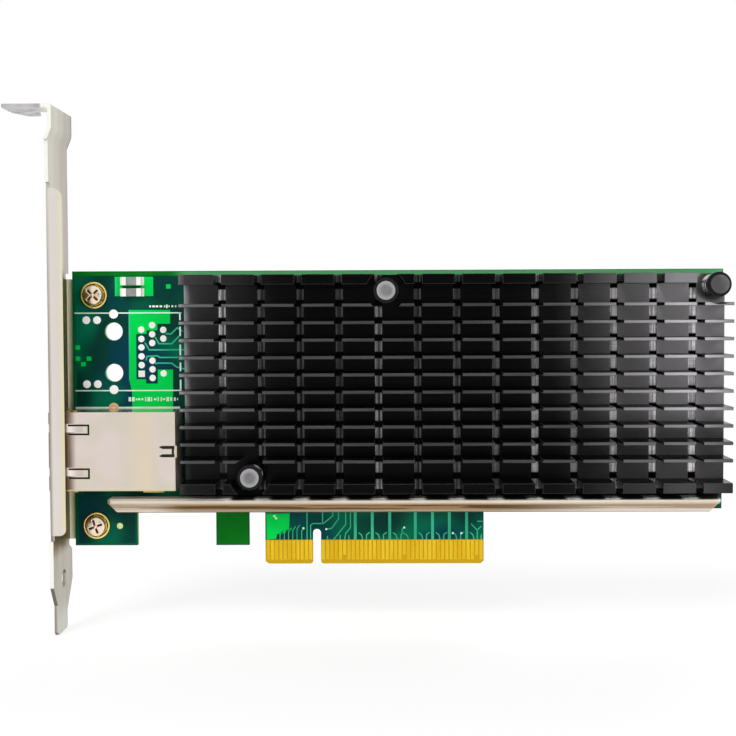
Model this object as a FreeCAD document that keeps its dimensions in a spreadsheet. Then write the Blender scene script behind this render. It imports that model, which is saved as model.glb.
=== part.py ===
import FreeCAD, Part
import math
import os
import Sketcher

# Network interface card: a full-height add-in card with one copper network jack.
# Frame (millimetres): X runs along the card away from the bracket, Z runs up from the
# edge connector, and the component side faces -Y.  The origin is on the key notch's
# centre line, at the tip of the edge connector, in the middle of the board's thickness.

DIMENSIONS = [
    # circuit board
    ("board_thickness", 1.57),
    ("board_left", 56.9),
    ("board_right", 94.75),
    ("board_top", 68.9),
    ("board_lower_edge", 12.9),
    ("step_edge", 4.48),
    ("left_block_right", 42.2),
    ("spare_tab_left", 23.7),
    ("spare_tab_right", 15.9),
    ("tongue_left", 12.15),
    ("tongue_right", 39.15),
    ("tongue_corner", 0.7),
    ("key_corner", 0.4),
    ("tongue_bevel_height", 1.0),
    ("tongue_bevel_depth", 0.4),
    ("key_width", 1.9),
    ("key_height", 8.25),
    ("key_end_radius", 0.91),
    # edge contacts
    ("contact_pitch", 1.0),
    ("contact_width", 0.7),
    ("contact_top", 5.6),
    ("contact_plating", 0.06),
    ("key_to_contact", 1.5),
    ("short_contact_cut", 1.1),
    # bracket sheet
    ("sheet", 0.86),
    ("bend_radius", 0.4),
    ("bracket_inner_face", 58.65),
    ("bracket_near_edge", 14.5),
    ("bracket_far_edge", 3.92),
    ("joggle_bottom", 97.8),
    ("joggle_rise", 2.6),
    ("joggle_offset", 1.05),
    ("joggle_bend", 2.5),
    ("tab_corner", 0.45),
    ("bracket_top", 105.6),
    ("tab_near_edge", 15.5),
    ("tab_far_edge", 4.4),
    ("tab_reach", 11.0),
    ("tab_prong_edge", 1.0),
    ("screw_notch_width", 4.42),
    ("screw_notch_land", 0.5),
    ("screw_notch_end", 8.0),
    ("tab_slit_width", 1.6),
    ("tab_slit_depth", 2.3),
    ("tab_slit_floor", 1.28),
    ("near_flange_width", 3.75),
    ("near_flange_bottom", 9.1),
    ("near_flange_top", 87.1),
    ("flange_corner", 1.5),
    ("flange_top_corner", 2.3),
    ("bend_relief", 1.3),
    ("far_flange_width", 4.3),
    ("screw_ear_height", 7.8),
    ("screw_ear_margin", 3.6),
    ("far_flange_bottom", 5.8),
    ("far_flange_top", 67.1),
    ("tail_shoulder", 2.8),
    ("tail_slant_bottom", 7.5),
    ("tail_far_shoulder", 3.8),
    ("tail_far_slant_bottom", 10.4),
    ("tail_tip", 14.42),
    ("tail_tip_near", 10.9),
    ("tail_tip_far", 1.6),
    ("tail_tip_corner", 1.2),
    ("tail_hole_radius", 2.1),
    ("tail_hole_drop", 2.4),
    ("tail_hole_height", 4.6),
    # bracket screws
    ("screw_place", 51.85),
    ("upper_screw_height", 63.3),
    ("lower_screw_height", 9.2),
    ("screw_thread_radius", 1.5),
    ("screw_clearance", 0.15),
    ("thread_play", 0.03),
    ("screw_flange_radius", 3.15),
    ("screw_flange_height", 0.7),
    ("screw_head_radius", 2.2),
    ("screw_head_height", 1.5),
    ("screw_length", 3.4),
    ("screw_recess_width", 0.8),
    ("screw_recess_length", 2.4),
    ("screw_recess_depth", 1.0),
    # network jack
    ("jack_height_place", 28.0),
    ("jack_width", 17.8),
    ("jack_height", 13.4),
    ("jack_back", 31.15),
    ("jack_nose", 0.15),
    ("jack_sheet", 0.25),
    ("jack_play", 0.05),
    ("jack_opening_play", 0.15),
    ("jack_standoff", 0.3),
    ("insert_length", 15.4),
    ("plug_width", 11.86),
    ("plug_floor", 4.6),
    ("plug_roof", 11.4),
    ("plug_depth", 13.0),
    ("latch_width", 6.4),
    ("latch_floor", 3.2),
    ("latch_groove_width", 3.6),
    ("latch_groove_floor", 2.0),
    ("peg_place", 47.3),
    ("peg_spacing", 9.68),
    ("peg_radius", 2.0),
    ("peg_clearance", 0.1),
    ("peg_length", 2.4),
    ("light_width", 3.4),
    ("light_height", 2.2),
    ("light_bottom", 1.3),
    ("light_inset", 0.9),
    ("light_depth", 1.2),
    ("light_play", 0.02),
    ("wire_pitch", 1.02),
    ("wire_width", 0.42),
    ("wire_thickness", 0.3),
    ("wire_front", 2.9),
    ("wire_drop", 2.2),
    ("wire_run", 6.6),
    ("pin_column_front", 40.85),
    ("pin_column_pitch", 2.55),
    ("pin_row_pitch", 2.04),
    ("pin_size", 0.55),
    ("pin_clearance", 0.05),
    ("pin_length", 2.9),
    ("lead_first", 53.7),
    ("lead_pitch", 2.54),
    ("lead_spread", 7.52),
    ("post_width", 1.3),
    ("post_length", 2.6),
    ("post_clearance", 0.12),
    ("spring_finger_length", 4.4),
    ("spring_finger_width", 1.6),
    ("spring_finger_spread", 4.95),
    ("spring_finger_setback", 4.4),
    ("shield_slit", 0.42),
    ("shield_latch_length", 3.5),
    ("shield_latch_slit", 1.5),
    ("shield_latch_width", 2.0),
    ("shield_clip_width", 2.7),
    ("shield_clip_height", 1.6),
    ("shield_clip_thickness", 0.35),
    # unused second jack place
    ("jack_spacing", 22.0),
    # heatsink
    ("sink_left", 30.11),
    ("sink_length", 124.12),
    ("sink_bottom", 18.26),
    ("sink_height", 49.44),
    ("sink_underside", 2.8),
    ("sink_base", 1.8),
    ("fin_height", 8.8),
    ("edge_fin", 2.27),
    ("thin_fin", 0.75),
    ("fin_pitch", 3.911),
    ("first_fin_gap", 4.65),
    ("cross_cut_width", 1.7),
    ("cross_cut_pitch", 9.0),
    ("cross_cut_first", 7.9),
    ("cross_cut_floor", 0.25),
    ("pin_pocket_radius", 4.5),
    ("pedestal_size", 27.0),
    ("pedestal_height", 0.4),
    # controller
    ("chip_place", 0.95),
    ("chip_level", 42.95),
    ("substrate_size", 25.0),
    ("substrate_height", 1.2),
    ("lid_size", 21.0),
    ("lid_height", 0.9),
    ("compound_size", 20.0),
    # push pins
    ("push_pin_one_place", 16.4),
    ("push_pin_one_level", 64.0),
    ("push_pin_two_place", 90.9),
    ("push_pin_two_level", 65.1),
    ("push_pin_three_place", -14.5),
    ("push_pin_three_level", 21.9),
    ("stem_radius", 1.5),
    ("stem_clearance", 0.15),
    ("collar_radius", 2.8),
    ("collar_height", 0.8),
    ("collar_level", 11.4),
    ("knob_radius", 2.1),
    ("knob_height", 1.1),
    ("barb_radius", 1.95),
    ("barb_height", 1.2),
    ("barb_tip_height", 1.0),
    ("barb_tip_radius", 0.9),
    ("barb_slot", 0.6),
    ("barb_play", 0.1),
    ("coil_radius", 2.1),
    ("coil_wire", 0.45),
    ("coil_turns", 4.0),
    ("coil_play", 0.1),
    # stiffener bar
    ("bar_left", 48.6),
    ("bar_right", 93.7),
    ("bar_bottom", 12.35),
    ("bar_leg_bottom", 14.5),
    ("bar_leg_thickness", 1.55),
    ("bar_leg_height", 4.6),
    ("bar_flange_height", 1.5),
    ("bar_bevel", 2.0),
    ("bar_leg_nose", 0.45),
    ("bar_lower_edge", 0.35),
    ("bar_end_radius", 1.2),
    ("bar_tail_width", 1.2),
    ("bar_tail_thickness", 0.9),
    ("bar_tail_length", 2.5),
    ("bar_tail_first", 4.0),
    ("bar_tail_pitch", 26.9),
    ("bar_tail_clearance", 0.12),
    # surface-mounted parts
    ("termination_place", 42.85),
    ("termination_level", 63.95),
    ("termination_pitch", 2.6),
    ("termination_length", 4.6),
    ("termination_width", 1.9),
    ("termination_height", 1.6),
    ("inductor_place", 50.0),
    ("inductor_level", 49.0),
    ("inductor_pitch", 14.0),
    ("inductor_size", 7.2),
    ("inductor_height", 2.4),
    ("inductor_corner", 1.0),
    ("regulator_level", 38.0),
    ("regulator_size", 5.0),
    ("regulator_height", 0.9),
    ("bulk_level", 28.0),
    ("bulk_length", 7.3),
    ("bulk_width", 4.3),
    ("bulk_height", 1.9),
    ("chip_part_length", 1.6),
    ("chip_part_width", 0.8),
    ("chip_part_height", 0.8),
    ("chip_part_pitch", 3.2),
    ("chip_part_gap", 2.0),
    ("flash_place", -22.0),
    ("flash_level", 56.0),
    ("flash_length", 5.0),
    ("flash_width", 4.0),
    ("flash_height", 1.5),
    ("flash_lead_reach", 1.05),
    ("flash_lead_width", 0.45),
    ("flash_lead_height", 0.5),
    ("flash_lead_pitch", 1.27),
    ("crystal_place", -21.0),
    ("crystal_level", 41.0),
    ("crystal_length", 5.0),
    ("crystal_width", 3.2),
    ("crystal_height", 1.1),
]


class Size:
    """A length from the sheet: its value now, and the expression that keeps it so."""

    def __init__(self, text, value):
        self.text = text
        self.value = value

    def joined(self, sign, other, value):
        return Size("(%s %s %s)" % (self.text, sign, other.text), value)

    def __add__(self, other):
        other = as_size(other)
        return self.joined("+", other, self.value + other.value)

    def __radd__(self, other):
        return as_size(other) + self

    def __sub__(self, other):
        other = as_size(other)
        return self.joined("-", other, self.value - other.value)

    def __rsub__(self, other):
        return as_size(other) - self

    def __mul__(self, other):
        other = as_size(other)
        return self.joined("*", other, self.value * other.value)

    def __rmul__(self, other):
        return as_size(other) * self

    def __truediv__(self, other):
        other = as_size(other)
        return self.joined("/", other, self.value / other.value)

    def __neg__(self):
        return Size("(0 - %s)" % self.text, -self.value)


def as_size(number):
    return number if isinstance(number, Size) else Size("(%r)" % float(number), float(number))


class Dimensions:
    """The spreadsheet of driving dimensions; each alias is also an attribute here."""

    def __init__(self, owner, table):
        sheet = owner.addObject("Spreadsheet::Sheet", "Dimensions")
        for row, (alias, value) in enumerate(table, start=1):
            sheet.set("A%d" % row, alias)
            sheet.set("B%d" % row, str(value))
            sheet.setAlias("B%d" % row, alias)
            setattr(self, alias, Size("Dimensions." + alias, float(value)))
        owner.recompute()


document = FreeCAD.newDocument("NetworkCard")
d = Dimensions(document, DIMENSIONS)
subparts = []

ORIGIN = as_size(0)
CUT_MARGIN = as_size(1)
half_board = d.board_thickness / 2


def above(height):
    """Distance along -Y of a level that stands this high over the component face."""
    return half_board + height


def depth(height):
    """Y coordinate of a level that stands this high over the component face."""
    return -(half_board + height)


# ---------------------------------------------------------------- modelling helpers

def new_body(label):
    body = document.addObject("PartDesign::Body", label)
    body.Label = label
    subparts.append(body)
    return body


def origin_feature(body, role):
    return [item for item in body.Origin.OriginFeatures if item.Role == role][0]


def new_sketch(body, name, plane, offset=ORIGIN):
    """A sketch on one of the body's own origin planes, moved along its normal."""
    sketch = body.newObject("Sketcher::SketchObject", name)
    sketch.AttachmentSupport = [(origin_feature(body, plane), "")]
    sketch.MapMode = "FlatFace"
    shift = FreeCAD.Vector(0, 0, offset.value)
    sketch.AttachmentOffset = FreeCAD.Placement(shift, FreeCAD.Rotation())
    sketch.setExpression("AttachmentOffset.Base.z", offset.text)
    return sketch


def place_points(sketch, placed):
    """Hold each (geometry, point, x, y) at its distance from the sketch's origin."""
    first = sketch.ConstraintCount
    constraints = []
    for geometry, point, x, y in placed:
        constraints.append(Sketcher.Constraint("DistanceX", -1, 1, geometry, point, x.value))
        constraints.append(Sketcher.Constraint("DistanceY", -1, 1, geometry, point, y.value))
    sketch.addConstraint(constraints)
    for index, (geometry, point, x, y) in enumerate(placed):
        sketch.setExpression("Constraints[%d]" % (first + 2 * index), x.text)
        sketch.setExpression("Constraints[%d]" % (first + 2 * index + 1), y.text)


def draw_outline(sketch, corners):
    """A closed outline of straight edges through the given (x, y) corners."""
    corners = [(as_size(x), as_size(y)) for x, y in corners]
    count = len(corners)
    first = sketch.GeometryCount
    edges = []
    for index, (x, y) in enumerate(corners):
        next_x, next_y = corners[(index + 1) % count]
        start = FreeCAD.Vector(x.value, y.value, 0)
        end = FreeCAD.Vector(next_x.value, next_y.value, 0)
        edges.append(Part.LineSegment(start, end))
    sketch.addGeometry(edges)
    joints = []
    for index in range(count):
        following = first + (index + 1) % count
        joints.append(Sketcher.Constraint("Coincident", first + index, 2, following, 1))
    sketch.addConstraint(joints)
    place_points(sketch, [(first + index, 1, x, y) for index, (x, y) in enumerate(corners)])


def draw_rectangle(sketch, left, bottom, right, top):
    draw_outline(sketch, [(left, bottom), (right, bottom), (right, top), (left, top)])


def draw_centred_rectangle(sketch, x, y, width, height):
    x, y, width, height = as_size(x), as_size(y), as_size(width), as_size(height)
    draw_rectangle(sketch, x - width / 2, y - height / 2, x + width / 2, y + height / 2)


def draw_circle(sketch, x, y, radius):
    x, y, radius = as_size(x), as_size(y), as_size(radius)
    centre = FreeCAD.Vector(x.value, y.value, 0)
    circle = sketch.addGeometry(Part.Circle(centre, FreeCAD.Vector(0, 0, 1), radius.value))
    place_points(sketch, [(circle, 3, x, y)])
    size = sketch.addConstraint(Sketcher.Constraint("Radius", circle, radius.value))
    sketch.setExpression("Constraints[%d]" % size, radius.text)


def new_feature(body, kind, sketch, length, backwards):
    feature = body.newObject("PartDesign::" + kind, sketch.Name + kind)
    feature.Profile = sketch
    feature.Length = length.value
    feature.setExpression("Length", length.text)
    feature.Reversed = backwards
    document.recompute()
    return feature


def pad(body, sketch, length, backwards=False):
    return new_feature(body, "Pad", sketch, length, backwards)


def pocket(body, sketch, length, backwards=False):
    """A pocket against the sketch's normal, or along it when backwards is set."""
    volume_before = body.Shape.Volume
    feature = new_feature(body, "Pocket", sketch, length, backwards)
    if not feature.Shape.Volume < volume_before:
        raise RuntimeError("%s removes nothing" % feature.Name)
    return feature


def repeat(body, original, role, pitch, count):
    """Copies of one feature in a row along an origin axis, with a fixed pitch."""
    pattern = body.newObject("PartDesign::LinearPattern", original.Name + "Row")
    pattern.Originals = [original]
    pattern.Direction = (origin_feature(body, role), [""])
    pattern.Occurrences = count
    pattern.Length = pitch.value * (count - 1)
    pattern.setExpression("Length", (pitch * (count - 1)).text)
    body.Tip = pattern
    document.recompute()
    return pattern


def edges_at(shape, places):
    """Names of the edges whose middle lies on one of the given places."""
    found = []
    for x, y, z in places:
        place = FreeCAD.Vector(as_size(x).value, as_size(y).value, as_size(z).value)
        for number, edge in enumerate(shape.Edges, start=1):
            middle = edge.valueAt((edge.FirstParameter + edge.LastParameter) / 2)
            if middle.distanceToPoint(place) < 0.02:
                found.append("Edge%d" % number)
    if len(found) != len(places):
        raise RuntimeError("found %d edges for %d places" % (len(found), len(places)))
    return found


def fillet(body, name, radius, places):
    base = body.Tip
    feature = body.newObject("PartDesign::Fillet", name)
    feature.Base = (base, edges_at(base.Shape, places))
    feature.Radius = radius.value
    feature.setExpression("Radius", radius.text)
    document.recompute()


def chamfer(body, name, width, places):
    base = body.Tip
    feature = body.newObject("PartDesign::Chamfer", name)
    feature.Base = (base, edges_at(base.Shape, places))
    feature.Size = width.value
    feature.setExpression("Size", width.text)
    document.recompute()


def put_at(subpart, x, y, z):
    """Move a sub-part from its own origin to its place on the card."""
    x, y, z = as_size(x), as_size(y), as_size(z)
    subpart.Placement = FreeCAD.Placement(FreeCAD.Vector(x.value, y.value, z.value), FreeCAD.Rotation())
    for axis, value in (("x", x), ("y", y), ("z", z)):
        subpart.setExpression("Placement.Base." + axis, value.text)


# ---------------------------------------------------------------- shared places

PUSH_PINS = [
    ("one", d.push_pin_one_place, d.push_pin_one_level),
    ("two", d.push_pin_two_place, d.push_pin_two_level),
    ("three", d.push_pin_three_place, d.push_pin_three_level),
]
SCREWS = [("upper", d.upper_screw_height), ("lower", d.lower_screw_height)]
BAR_TAIL_COUNT = 6
THIN_FIN_COUNT = 10
CROSS_CUT_COUNT = 13
WIRE_COUNT = 8
COIL_RUNS_PER_TURN = 8
CONTACTS_LEFT = 11
CONTACTS_RIGHT = 38

# Jack pins, as (column, row) counted in pitches from the front column and the middle.
JACK_PIN_GRID = [(0, row) for row in (-2.5, -1.5, -0.5, 0.5, 1.5, 2.5)]
JACK_PIN_GRID += [(1, row) for row in (-3, -2, -1, 1, 2, 3)]
JACK_PIN_GRID += [(2, row) for row in (-2.5, 1.5, 2.5)]

bracket_outer_face = -(d.bracket_inner_face + d.sheet)
jack_front = bracket_outer_face - d.jack_nose
jack_low = d.jack_height_place - d.jack_width / 2
jack_high = d.jack_height_place + d.jack_width / 2
fin_floor = d.sink_underside + d.sink_base
fin_tip = fin_floor + d.fin_height
bar_tail_level = d.bar_leg_bottom + d.bar_leg_thickness / 2


def jack_pin_places(middle):
    places = []
    for column, row in JACK_PIN_GRID:
        x = -d.pin_column_front + d.pin_column_pitch * column
        places.append((x, middle + d.pin_row_pitch * row))
    return places


def jack_lead_places(middle):
    return [
        (-d.lead_first + d.lead_pitch * number, middle + d.lead_spread * side)
        for number in (0, 1)
        for side in (-1, 1)
    ]


def jack_peg_places(middle):
    return [(-d.peg_place, middle + d.peg_spacing / 2 * side) for side in (-1, 1)]


def jack_post_places():
    middle_of_wall = d.jack_width / 2 - d.jack_sheet / 2
    return [(-d.peg_place, d.jack_height_place + middle_of_wall * side) for side in (-1, 1)]


def bar_tail_places():
    first = -d.bar_left + d.bar_tail_first
    return [(first + d.bar_tail_pitch * number, bar_tail_level) for number in range(BAR_TAIL_COUNT)]


# ---------------------------------------------------------------- sub-parts

def make_circuit_board():
    board = new_body("circuit_board")
    outline = new_sketch(board, "BoardOutline", "XZ_Plane", -half_board)
    half_key = d.key_width / 2
    draw_outline(outline, [
        (-d.board_left, d.step_edge),
        (-d.left_block_right, d.step_edge),
        (-d.left_block_right, d.board_lower_edge),
        (-d.spare_tab_left, d.board_lower_edge),
        (-d.spare_tab_left, d.step_edge),
        (-d.spare_tab_right, d.step_edge),
        (-d.spare_tab_right, d.board_lower_edge),
        (-d.tongue_left, d.board_lower_edge),
        (-d.tongue_left, d.tongue_corner),
        (-d.tongue_left + d.tongue_corner, 0),
        (-half_key - d.key_corner, 0),
        (-half_key, d.key_corner),
        (-half_key, d.key_height),
        (half_key, d.key_height),
        (half_key, d.key_corner),
        (half_key + d.key_corner, 0),
        (d.tongue_right - d.tongue_corner, 0),
        (d.tongue_right, d.tongue_corner),
        (d.tongue_right, d.board_lower_edge),
        (d.board_right, d.board_lower_edge),
        (d.board_right, d.board_top),
        (-d.board_left, d.board_top),
    ])
    pad(board, outline, d.board_thickness)
    fillet(board, "KeyNotchEnd", d.key_end_radius, [
        (-half_key, 0, d.key_height),
        (half_key, 0, d.key_height),
    ])

    bevel = new_sketch(board, "TongueBevel", "YZ_Plane", -d.tongue_left)
    for side in (-1, 1):
        face = half_board * side
        draw_outline(bevel, [
            (face, d.tongue_bevel_height),
            (face - d.tongue_bevel_depth * side, 0),
            (face, 0),
        ])
    pocket(board, bevel, d.tongue_left + d.tongue_right, backwards=True)

    holes = new_sketch(board, "Holes", "XZ_Plane", half_board)
    for name, level in SCREWS:
        draw_circle(holes, -d.screw_place, level, d.screw_thread_radius + d.screw_clearance)
    for name, x, z in PUSH_PINS:
        draw_circle(holes, x, z, d.stem_radius + d.stem_clearance)
    for middle in (d.jack_height_place, d.jack_height_place + d.jack_spacing):
        for x, z in jack_peg_places(middle):
            draw_circle(holes, x, z, d.peg_radius + d.peg_clearance)
    # Solder fills the holes of the jack's square pins, up to the pins themselves.
    for x, z in jack_pin_places(d.jack_height_place) + jack_lead_places(d.jack_height_place):
        hole = d.pin_size + d.pin_clearance * 2
        draw_centred_rectangle(holes, x, z, hole, hole)
    for x, z in jack_post_places():
        draw_centred_rectangle(holes, x, z, d.post_width + d.post_clearance * 2,
                               d.jack_sheet + d.post_clearance * 2)
    for x, z in bar_tail_places():
        draw_centred_rectangle(holes, x, z, d.bar_tail_width + d.bar_tail_clearance * 2,
                               d.bar_tail_thickness + d.bar_tail_clearance * 2)
    pocket(board, holes, d.board_thickness)


def make_edge_contacts(label, level, backwards, short_contacts):
    """The plated contact pads on one face; short_contacts are counted from the left."""
    contacts = new_body(label)
    bottom = d.tongue_bevel_height
    rows = (
        (label + "Left", -d.key_to_contact - d.contact_pitch * (CONTACTS_LEFT - 1), CONTACTS_LEFT),
        (label + "Right", d.key_to_contact, CONTACTS_RIGHT),
    )
    places = []
    for name, first, count in rows:
        sketch = new_sketch(contacts, name, "XZ_Plane", level)
        draw_rectangle(sketch, first - d.contact_width / 2, bottom,
                       first + d.contact_width / 2, d.contact_top)
        first_pad = pad(contacts, sketch, d.contact_plating, backwards)
        repeat(contacts, first_pad, "X_Axis", d.contact_pitch, count)
        places += [first + d.contact_pitch * number for number in range(count)]
    trim = new_sketch(contacts, label + "Trim", "XZ_Plane", level)
    for number in short_contacts:
        draw_rectangle(trim, places[number] - d.contact_width, bottom - CUT_MARGIN,
                       places[number] + d.contact_width / 2, bottom + d.short_contact_cut)
    pocket(contacts, trim, d.contact_plating, not backwards)


def make_bracket():
    bracket = new_body("bracket")
    near = depth(d.bracket_near_edge)
    far = depth(-d.bracket_far_edge)
    board_back = depth(-d.board_thickness)
    flange_back = board_back + d.sheet
    relief = d.bend_relief
    plate = new_sketch(bracket, "PlateOutline", "YZ_Plane", bracket_outer_face)
    draw_outline(plate, [
        (near, d.joggle_bottom),
        (near, d.near_flange_top + relief),
        (near + relief, d.near_flange_top + relief),
        (near + relief, d.near_flange_top),
        (near, d.near_flange_top),
        (near, d.near_flange_bottom),
        (near + relief, d.near_flange_bottom),
        (near + relief, d.near_flange_bottom - relief),
        (near, d.near_flange_bottom - relief),
        (near, -d.tail_shoulder),
        (depth(d.tail_tip_near), -d.tail_slant_bottom),
        (depth(d.tail_tip_near), -d.tail_tip),
        (depth(d.tail_tip_far), -d.tail_tip),
        (depth(d.tail_tip_far), -d.tail_far_slant_bottom),
        (far, -d.tail_far_shoulder),
        (far, d.far_flange_bottom - relief * 2),
        (flange_back - relief, d.far_flange_bottom - relief),
        (flange_back - relief, d.far_flange_bottom),
        (flange_back, d.far_flange_bottom),
        (flange_back, d.far_flange_top),
        (flange_back - relief, d.far_flange_top),
        (flange_back - relief, d.far_flange_top + relief),
        (far, d.far_flange_top + relief),
        (far, d.joggle_bottom),
    ])
    pad(bracket, plate, d.sheet)
    middle_of_plate = bracket_outer_face + d.sheet / 2
    fillet(bracket, "TailTip", d.tail_tip_corner, [
        (middle_of_plate, depth(d.tail_tip_near), -d.tail_tip),
        (middle_of_plate, depth(d.tail_tip_far), -d.tail_tip),
    ])

    # Upper end: the joggle, the wider plate above it and the fold of the screw tab.
    upper_inner = -d.bracket_inner_face + d.joggle_offset
    upper_outer = upper_inner - d.sheet
    joggle_top = d.joggle_bottom + d.joggle_rise
    tab_end = upper_inner - d.tab_reach
    tab_width = d.tab_near_edge + d.tab_far_edge
    fold = new_sketch(bracket, "UpperFold", "XZ_Plane", above(-d.tab_far_edge))
    draw_outline(fold, [
        (-d.bracket_inner_face, d.joggle_bottom),
        (upper_inner, joggle_top),
        (upper_inner, d.bracket_top),
        (tab_end, d.bracket_top),
        (tab_end, d.bracket_top - d.sheet),
        (upper_outer, d.bracket_top - d.sheet),
        (upper_outer, joggle_top),
        (bracket_outer_face, d.joggle_bottom),
    ])
    pad(bracket, fold, tab_width)
    middle_of_fold = depth(-d.tab_far_edge) - tab_width / 2
    fillet(bracket, "TabBendOutside", d.tab_corner, [
        (upper_inner, middle_of_fold, d.bracket_top),
    ])
    fillet(bracket, "TabBendInside", d.bend_radius, [
        (upper_outer, middle_of_fold, d.bracket_top - d.sheet),
    ])
    fillet(bracket, "JoggleBendsInside", d.joggle_bend, [
        (-d.bracket_inner_face, (near + far) / 2, d.joggle_bottom),
        (upper_outer, middle_of_fold, joggle_top),
    ])
    fillet(bracket, "JoggleBendsOutside", d.joggle_bend + d.sheet, [
        (upper_inner, middle_of_fold, joggle_top),
    ])

    # Screw tab seen from above: the open notch, the prong beside it and the small slit.
    notch_radius = d.screw_notch_width / 2
    notch_right = upper_outer - d.screw_notch_land
    notch_left = notch_right - d.screw_notch_width
    notch_middle = notch_right - notch_radius
    prong = depth(d.tab_prong_edge)
    notch_centre = depth(d.screw_notch_end) + notch_radius
    slit_near = depth(d.screw_notch_end + d.tab_slit_width / 2)
    tab_cut = new_sketch(bracket, "TabOutline", "XY_Plane", d.bracket_top)
    draw_outline(tab_cut, [
        (tab_end - CUT_MARGIN, slit_near),
        (tab_end + d.tab_slit_depth, slit_near),
        (tab_end + d.tab_slit_depth, slit_near + d.tab_slit_floor),
        (tab_end, slit_near + d.tab_slit_width),
        (tab_end + d.tab_slit_depth, prong),
        (notch_left, prong),
        (notch_left, notch_centre),
        (notch_right, notch_centre),
        (notch_right, depth(-d.tab_far_edge) + CUT_MARGIN),
        (tab_end - CUT_MARGIN, depth(-d.tab_far_edge) + CUT_MARGIN),
    ])
    pocket(bracket, tab_cut, d.sheet + CUT_MARGIN)
    notch_end = new_sketch(bracket, "NotchEnd", "XY_Plane", d.bracket_top)
    draw_circle(notch_end, notch_middle, notch_centre, notch_radius)
    pocket(bracket, notch_end, d.sheet + CUT_MARGIN)

    # Stiffening flange along the near edge, and the board flange along the far edge.
    near_flange_end = bracket_outer_face + d.near_flange_width
    near_flange = new_sketch(bracket, "NearFlange", "XZ_Plane", above(d.bracket_near_edge - d.sheet))
    draw_rectangle(near_flange, bracket_outer_face, d.near_flange_bottom,
                   near_flange_end, d.near_flange_top)
    pad(bracket, near_flange, d.sheet)
    ear_end = -d.screw_place + d.screw_ear_margin
    far_flange_end = bracket_outer_face + d.far_flange_width
    far_flange = new_sketch(bracket, "BoardFlange", "XZ_Plane", above(-d.board_thickness - d.sheet))
    draw_outline(far_flange, [
        (bracket_outer_face, d.far_flange_bottom),
        (ear_end, d.far_flange_bottom),
        (ear_end, d.far_flange_bottom + d.screw_ear_height),
        (far_flange_end, d.far_flange_bottom + d.screw_ear_height),
        (far_flange_end, d.far_flange_top - d.screw_ear_height),
        (ear_end, d.far_flange_top - d.screw_ear_height),
        (ear_end, d.far_flange_top),
        (bracket_outer_face, d.far_flange_top),
    ])
    pad(bracket, far_flange, d.sheet)
    near_middle = (d.near_flange_bottom + d.near_flange_top) / 2
    far_middle = (d.far_flange_bottom + d.far_flange_top) / 2
    near_inside = near + d.sheet
    far_inside = flange_back - d.sheet
    fillet(bracket, "FlangeBendsOutside", d.bend_radius + d.sheet, [
        (bracket_outer_face, near, near_middle),
        (bracket_outer_face, flange_back, far_middle),
    ])
    fillet(bracket, "FlangeBendsInside", d.bend_radius, [
        (-d.bracket_inner_face, near_inside, near_middle),
        (-d.bracket_inner_face, far_inside, far_middle),
    ])
    fillet(bracket, "FlangeTopCorner", d.flange_top_corner, [
        (near_flange_end, near + d.sheet / 2, d.near_flange_top),
    ])
    fillet(bracket, "FlangeCorners", d.flange_corner, [
        (near_flange_end, near + d.sheet / 2, d.near_flange_bottom),
        (ear_end, flange_back - d.sheet / 2, d.far_flange_bottom),
        (ear_end, flange_back - d.sheet / 2, d.far_flange_top),
    ])

    # Openings: the jack's window, the hole in the tail and the tapped screw holes.
    window = new_sketch(bracket, "JackWindow", "YZ_Plane", bracket_outer_face)
    draw_rectangle(window, depth(d.jack_height + d.jack_opening_play), jack_low - d.jack_opening_play,
                   depth(-d.jack_opening_play), jack_high + d.jack_opening_play)
    pocket(bracket, window, d.sheet + d.bend_radius, backwards=True)
    tail_hole = new_sketch(bracket, "TailHole", "YZ_Plane", bracket_outer_face)
    draw_circle(tail_hole, depth(d.tail_hole_height), -d.tail_hole_drop, d.tail_hole_radius)
    pocket(bracket, tail_hole, d.sheet, backwards=True)
    tapped = new_sketch(bracket, "TappedHoles", "XZ_Plane", above(-d.board_thickness))
    for name, level in SCREWS:
        draw_circle(tapped, -d.screw_place, level, d.screw_thread_radius + d.thread_play)
    pocket(bracket, tapped, d.sheet)


def make_bracket_screw(name, level):
    screw = new_body("bracket_screw_" + name)
    flange = new_sketch(screw, "Flange" + name, "XZ_Plane", half_board)
    draw_circle(flange, 0, 0, d.screw_flange_radius)
    pad(screw, flange, d.screw_flange_height)
    head = new_sketch(screw, "Head" + name, "XZ_Plane", half_board)
    draw_circle(head, 0, 0, d.screw_head_radius)
    head_height = d.screw_flange_height + d.screw_head_height
    pad(screw, head, head_height)
    shank = new_sketch(screw, "Shank" + name, "XZ_Plane", half_board)
    draw_circle(shank, 0, 0, d.screw_thread_radius)
    pad(screw, shank, d.screw_length, backwards=True)
    recess = new_sketch(screw, "Recess" + name, "XZ_Plane", above(head_height))
    arm = d.screw_recess_length / 2
    half_width = d.screw_recess_width / 2
    draw_outline(recess, [
        (half_width, half_width), (half_width, arm), (-half_width, arm), (-half_width, half_width),
        (-arm, half_width), (-arm, -half_width), (-half_width, -half_width), (-half_width, -arm),
        (half_width, -arm), (half_width, -half_width), (arm, -half_width), (arm, half_width),
    ])
    pocket(screw, recess, d.screw_recess_depth)
    put_at(screw, -d.screw_place, 0, level)


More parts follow.
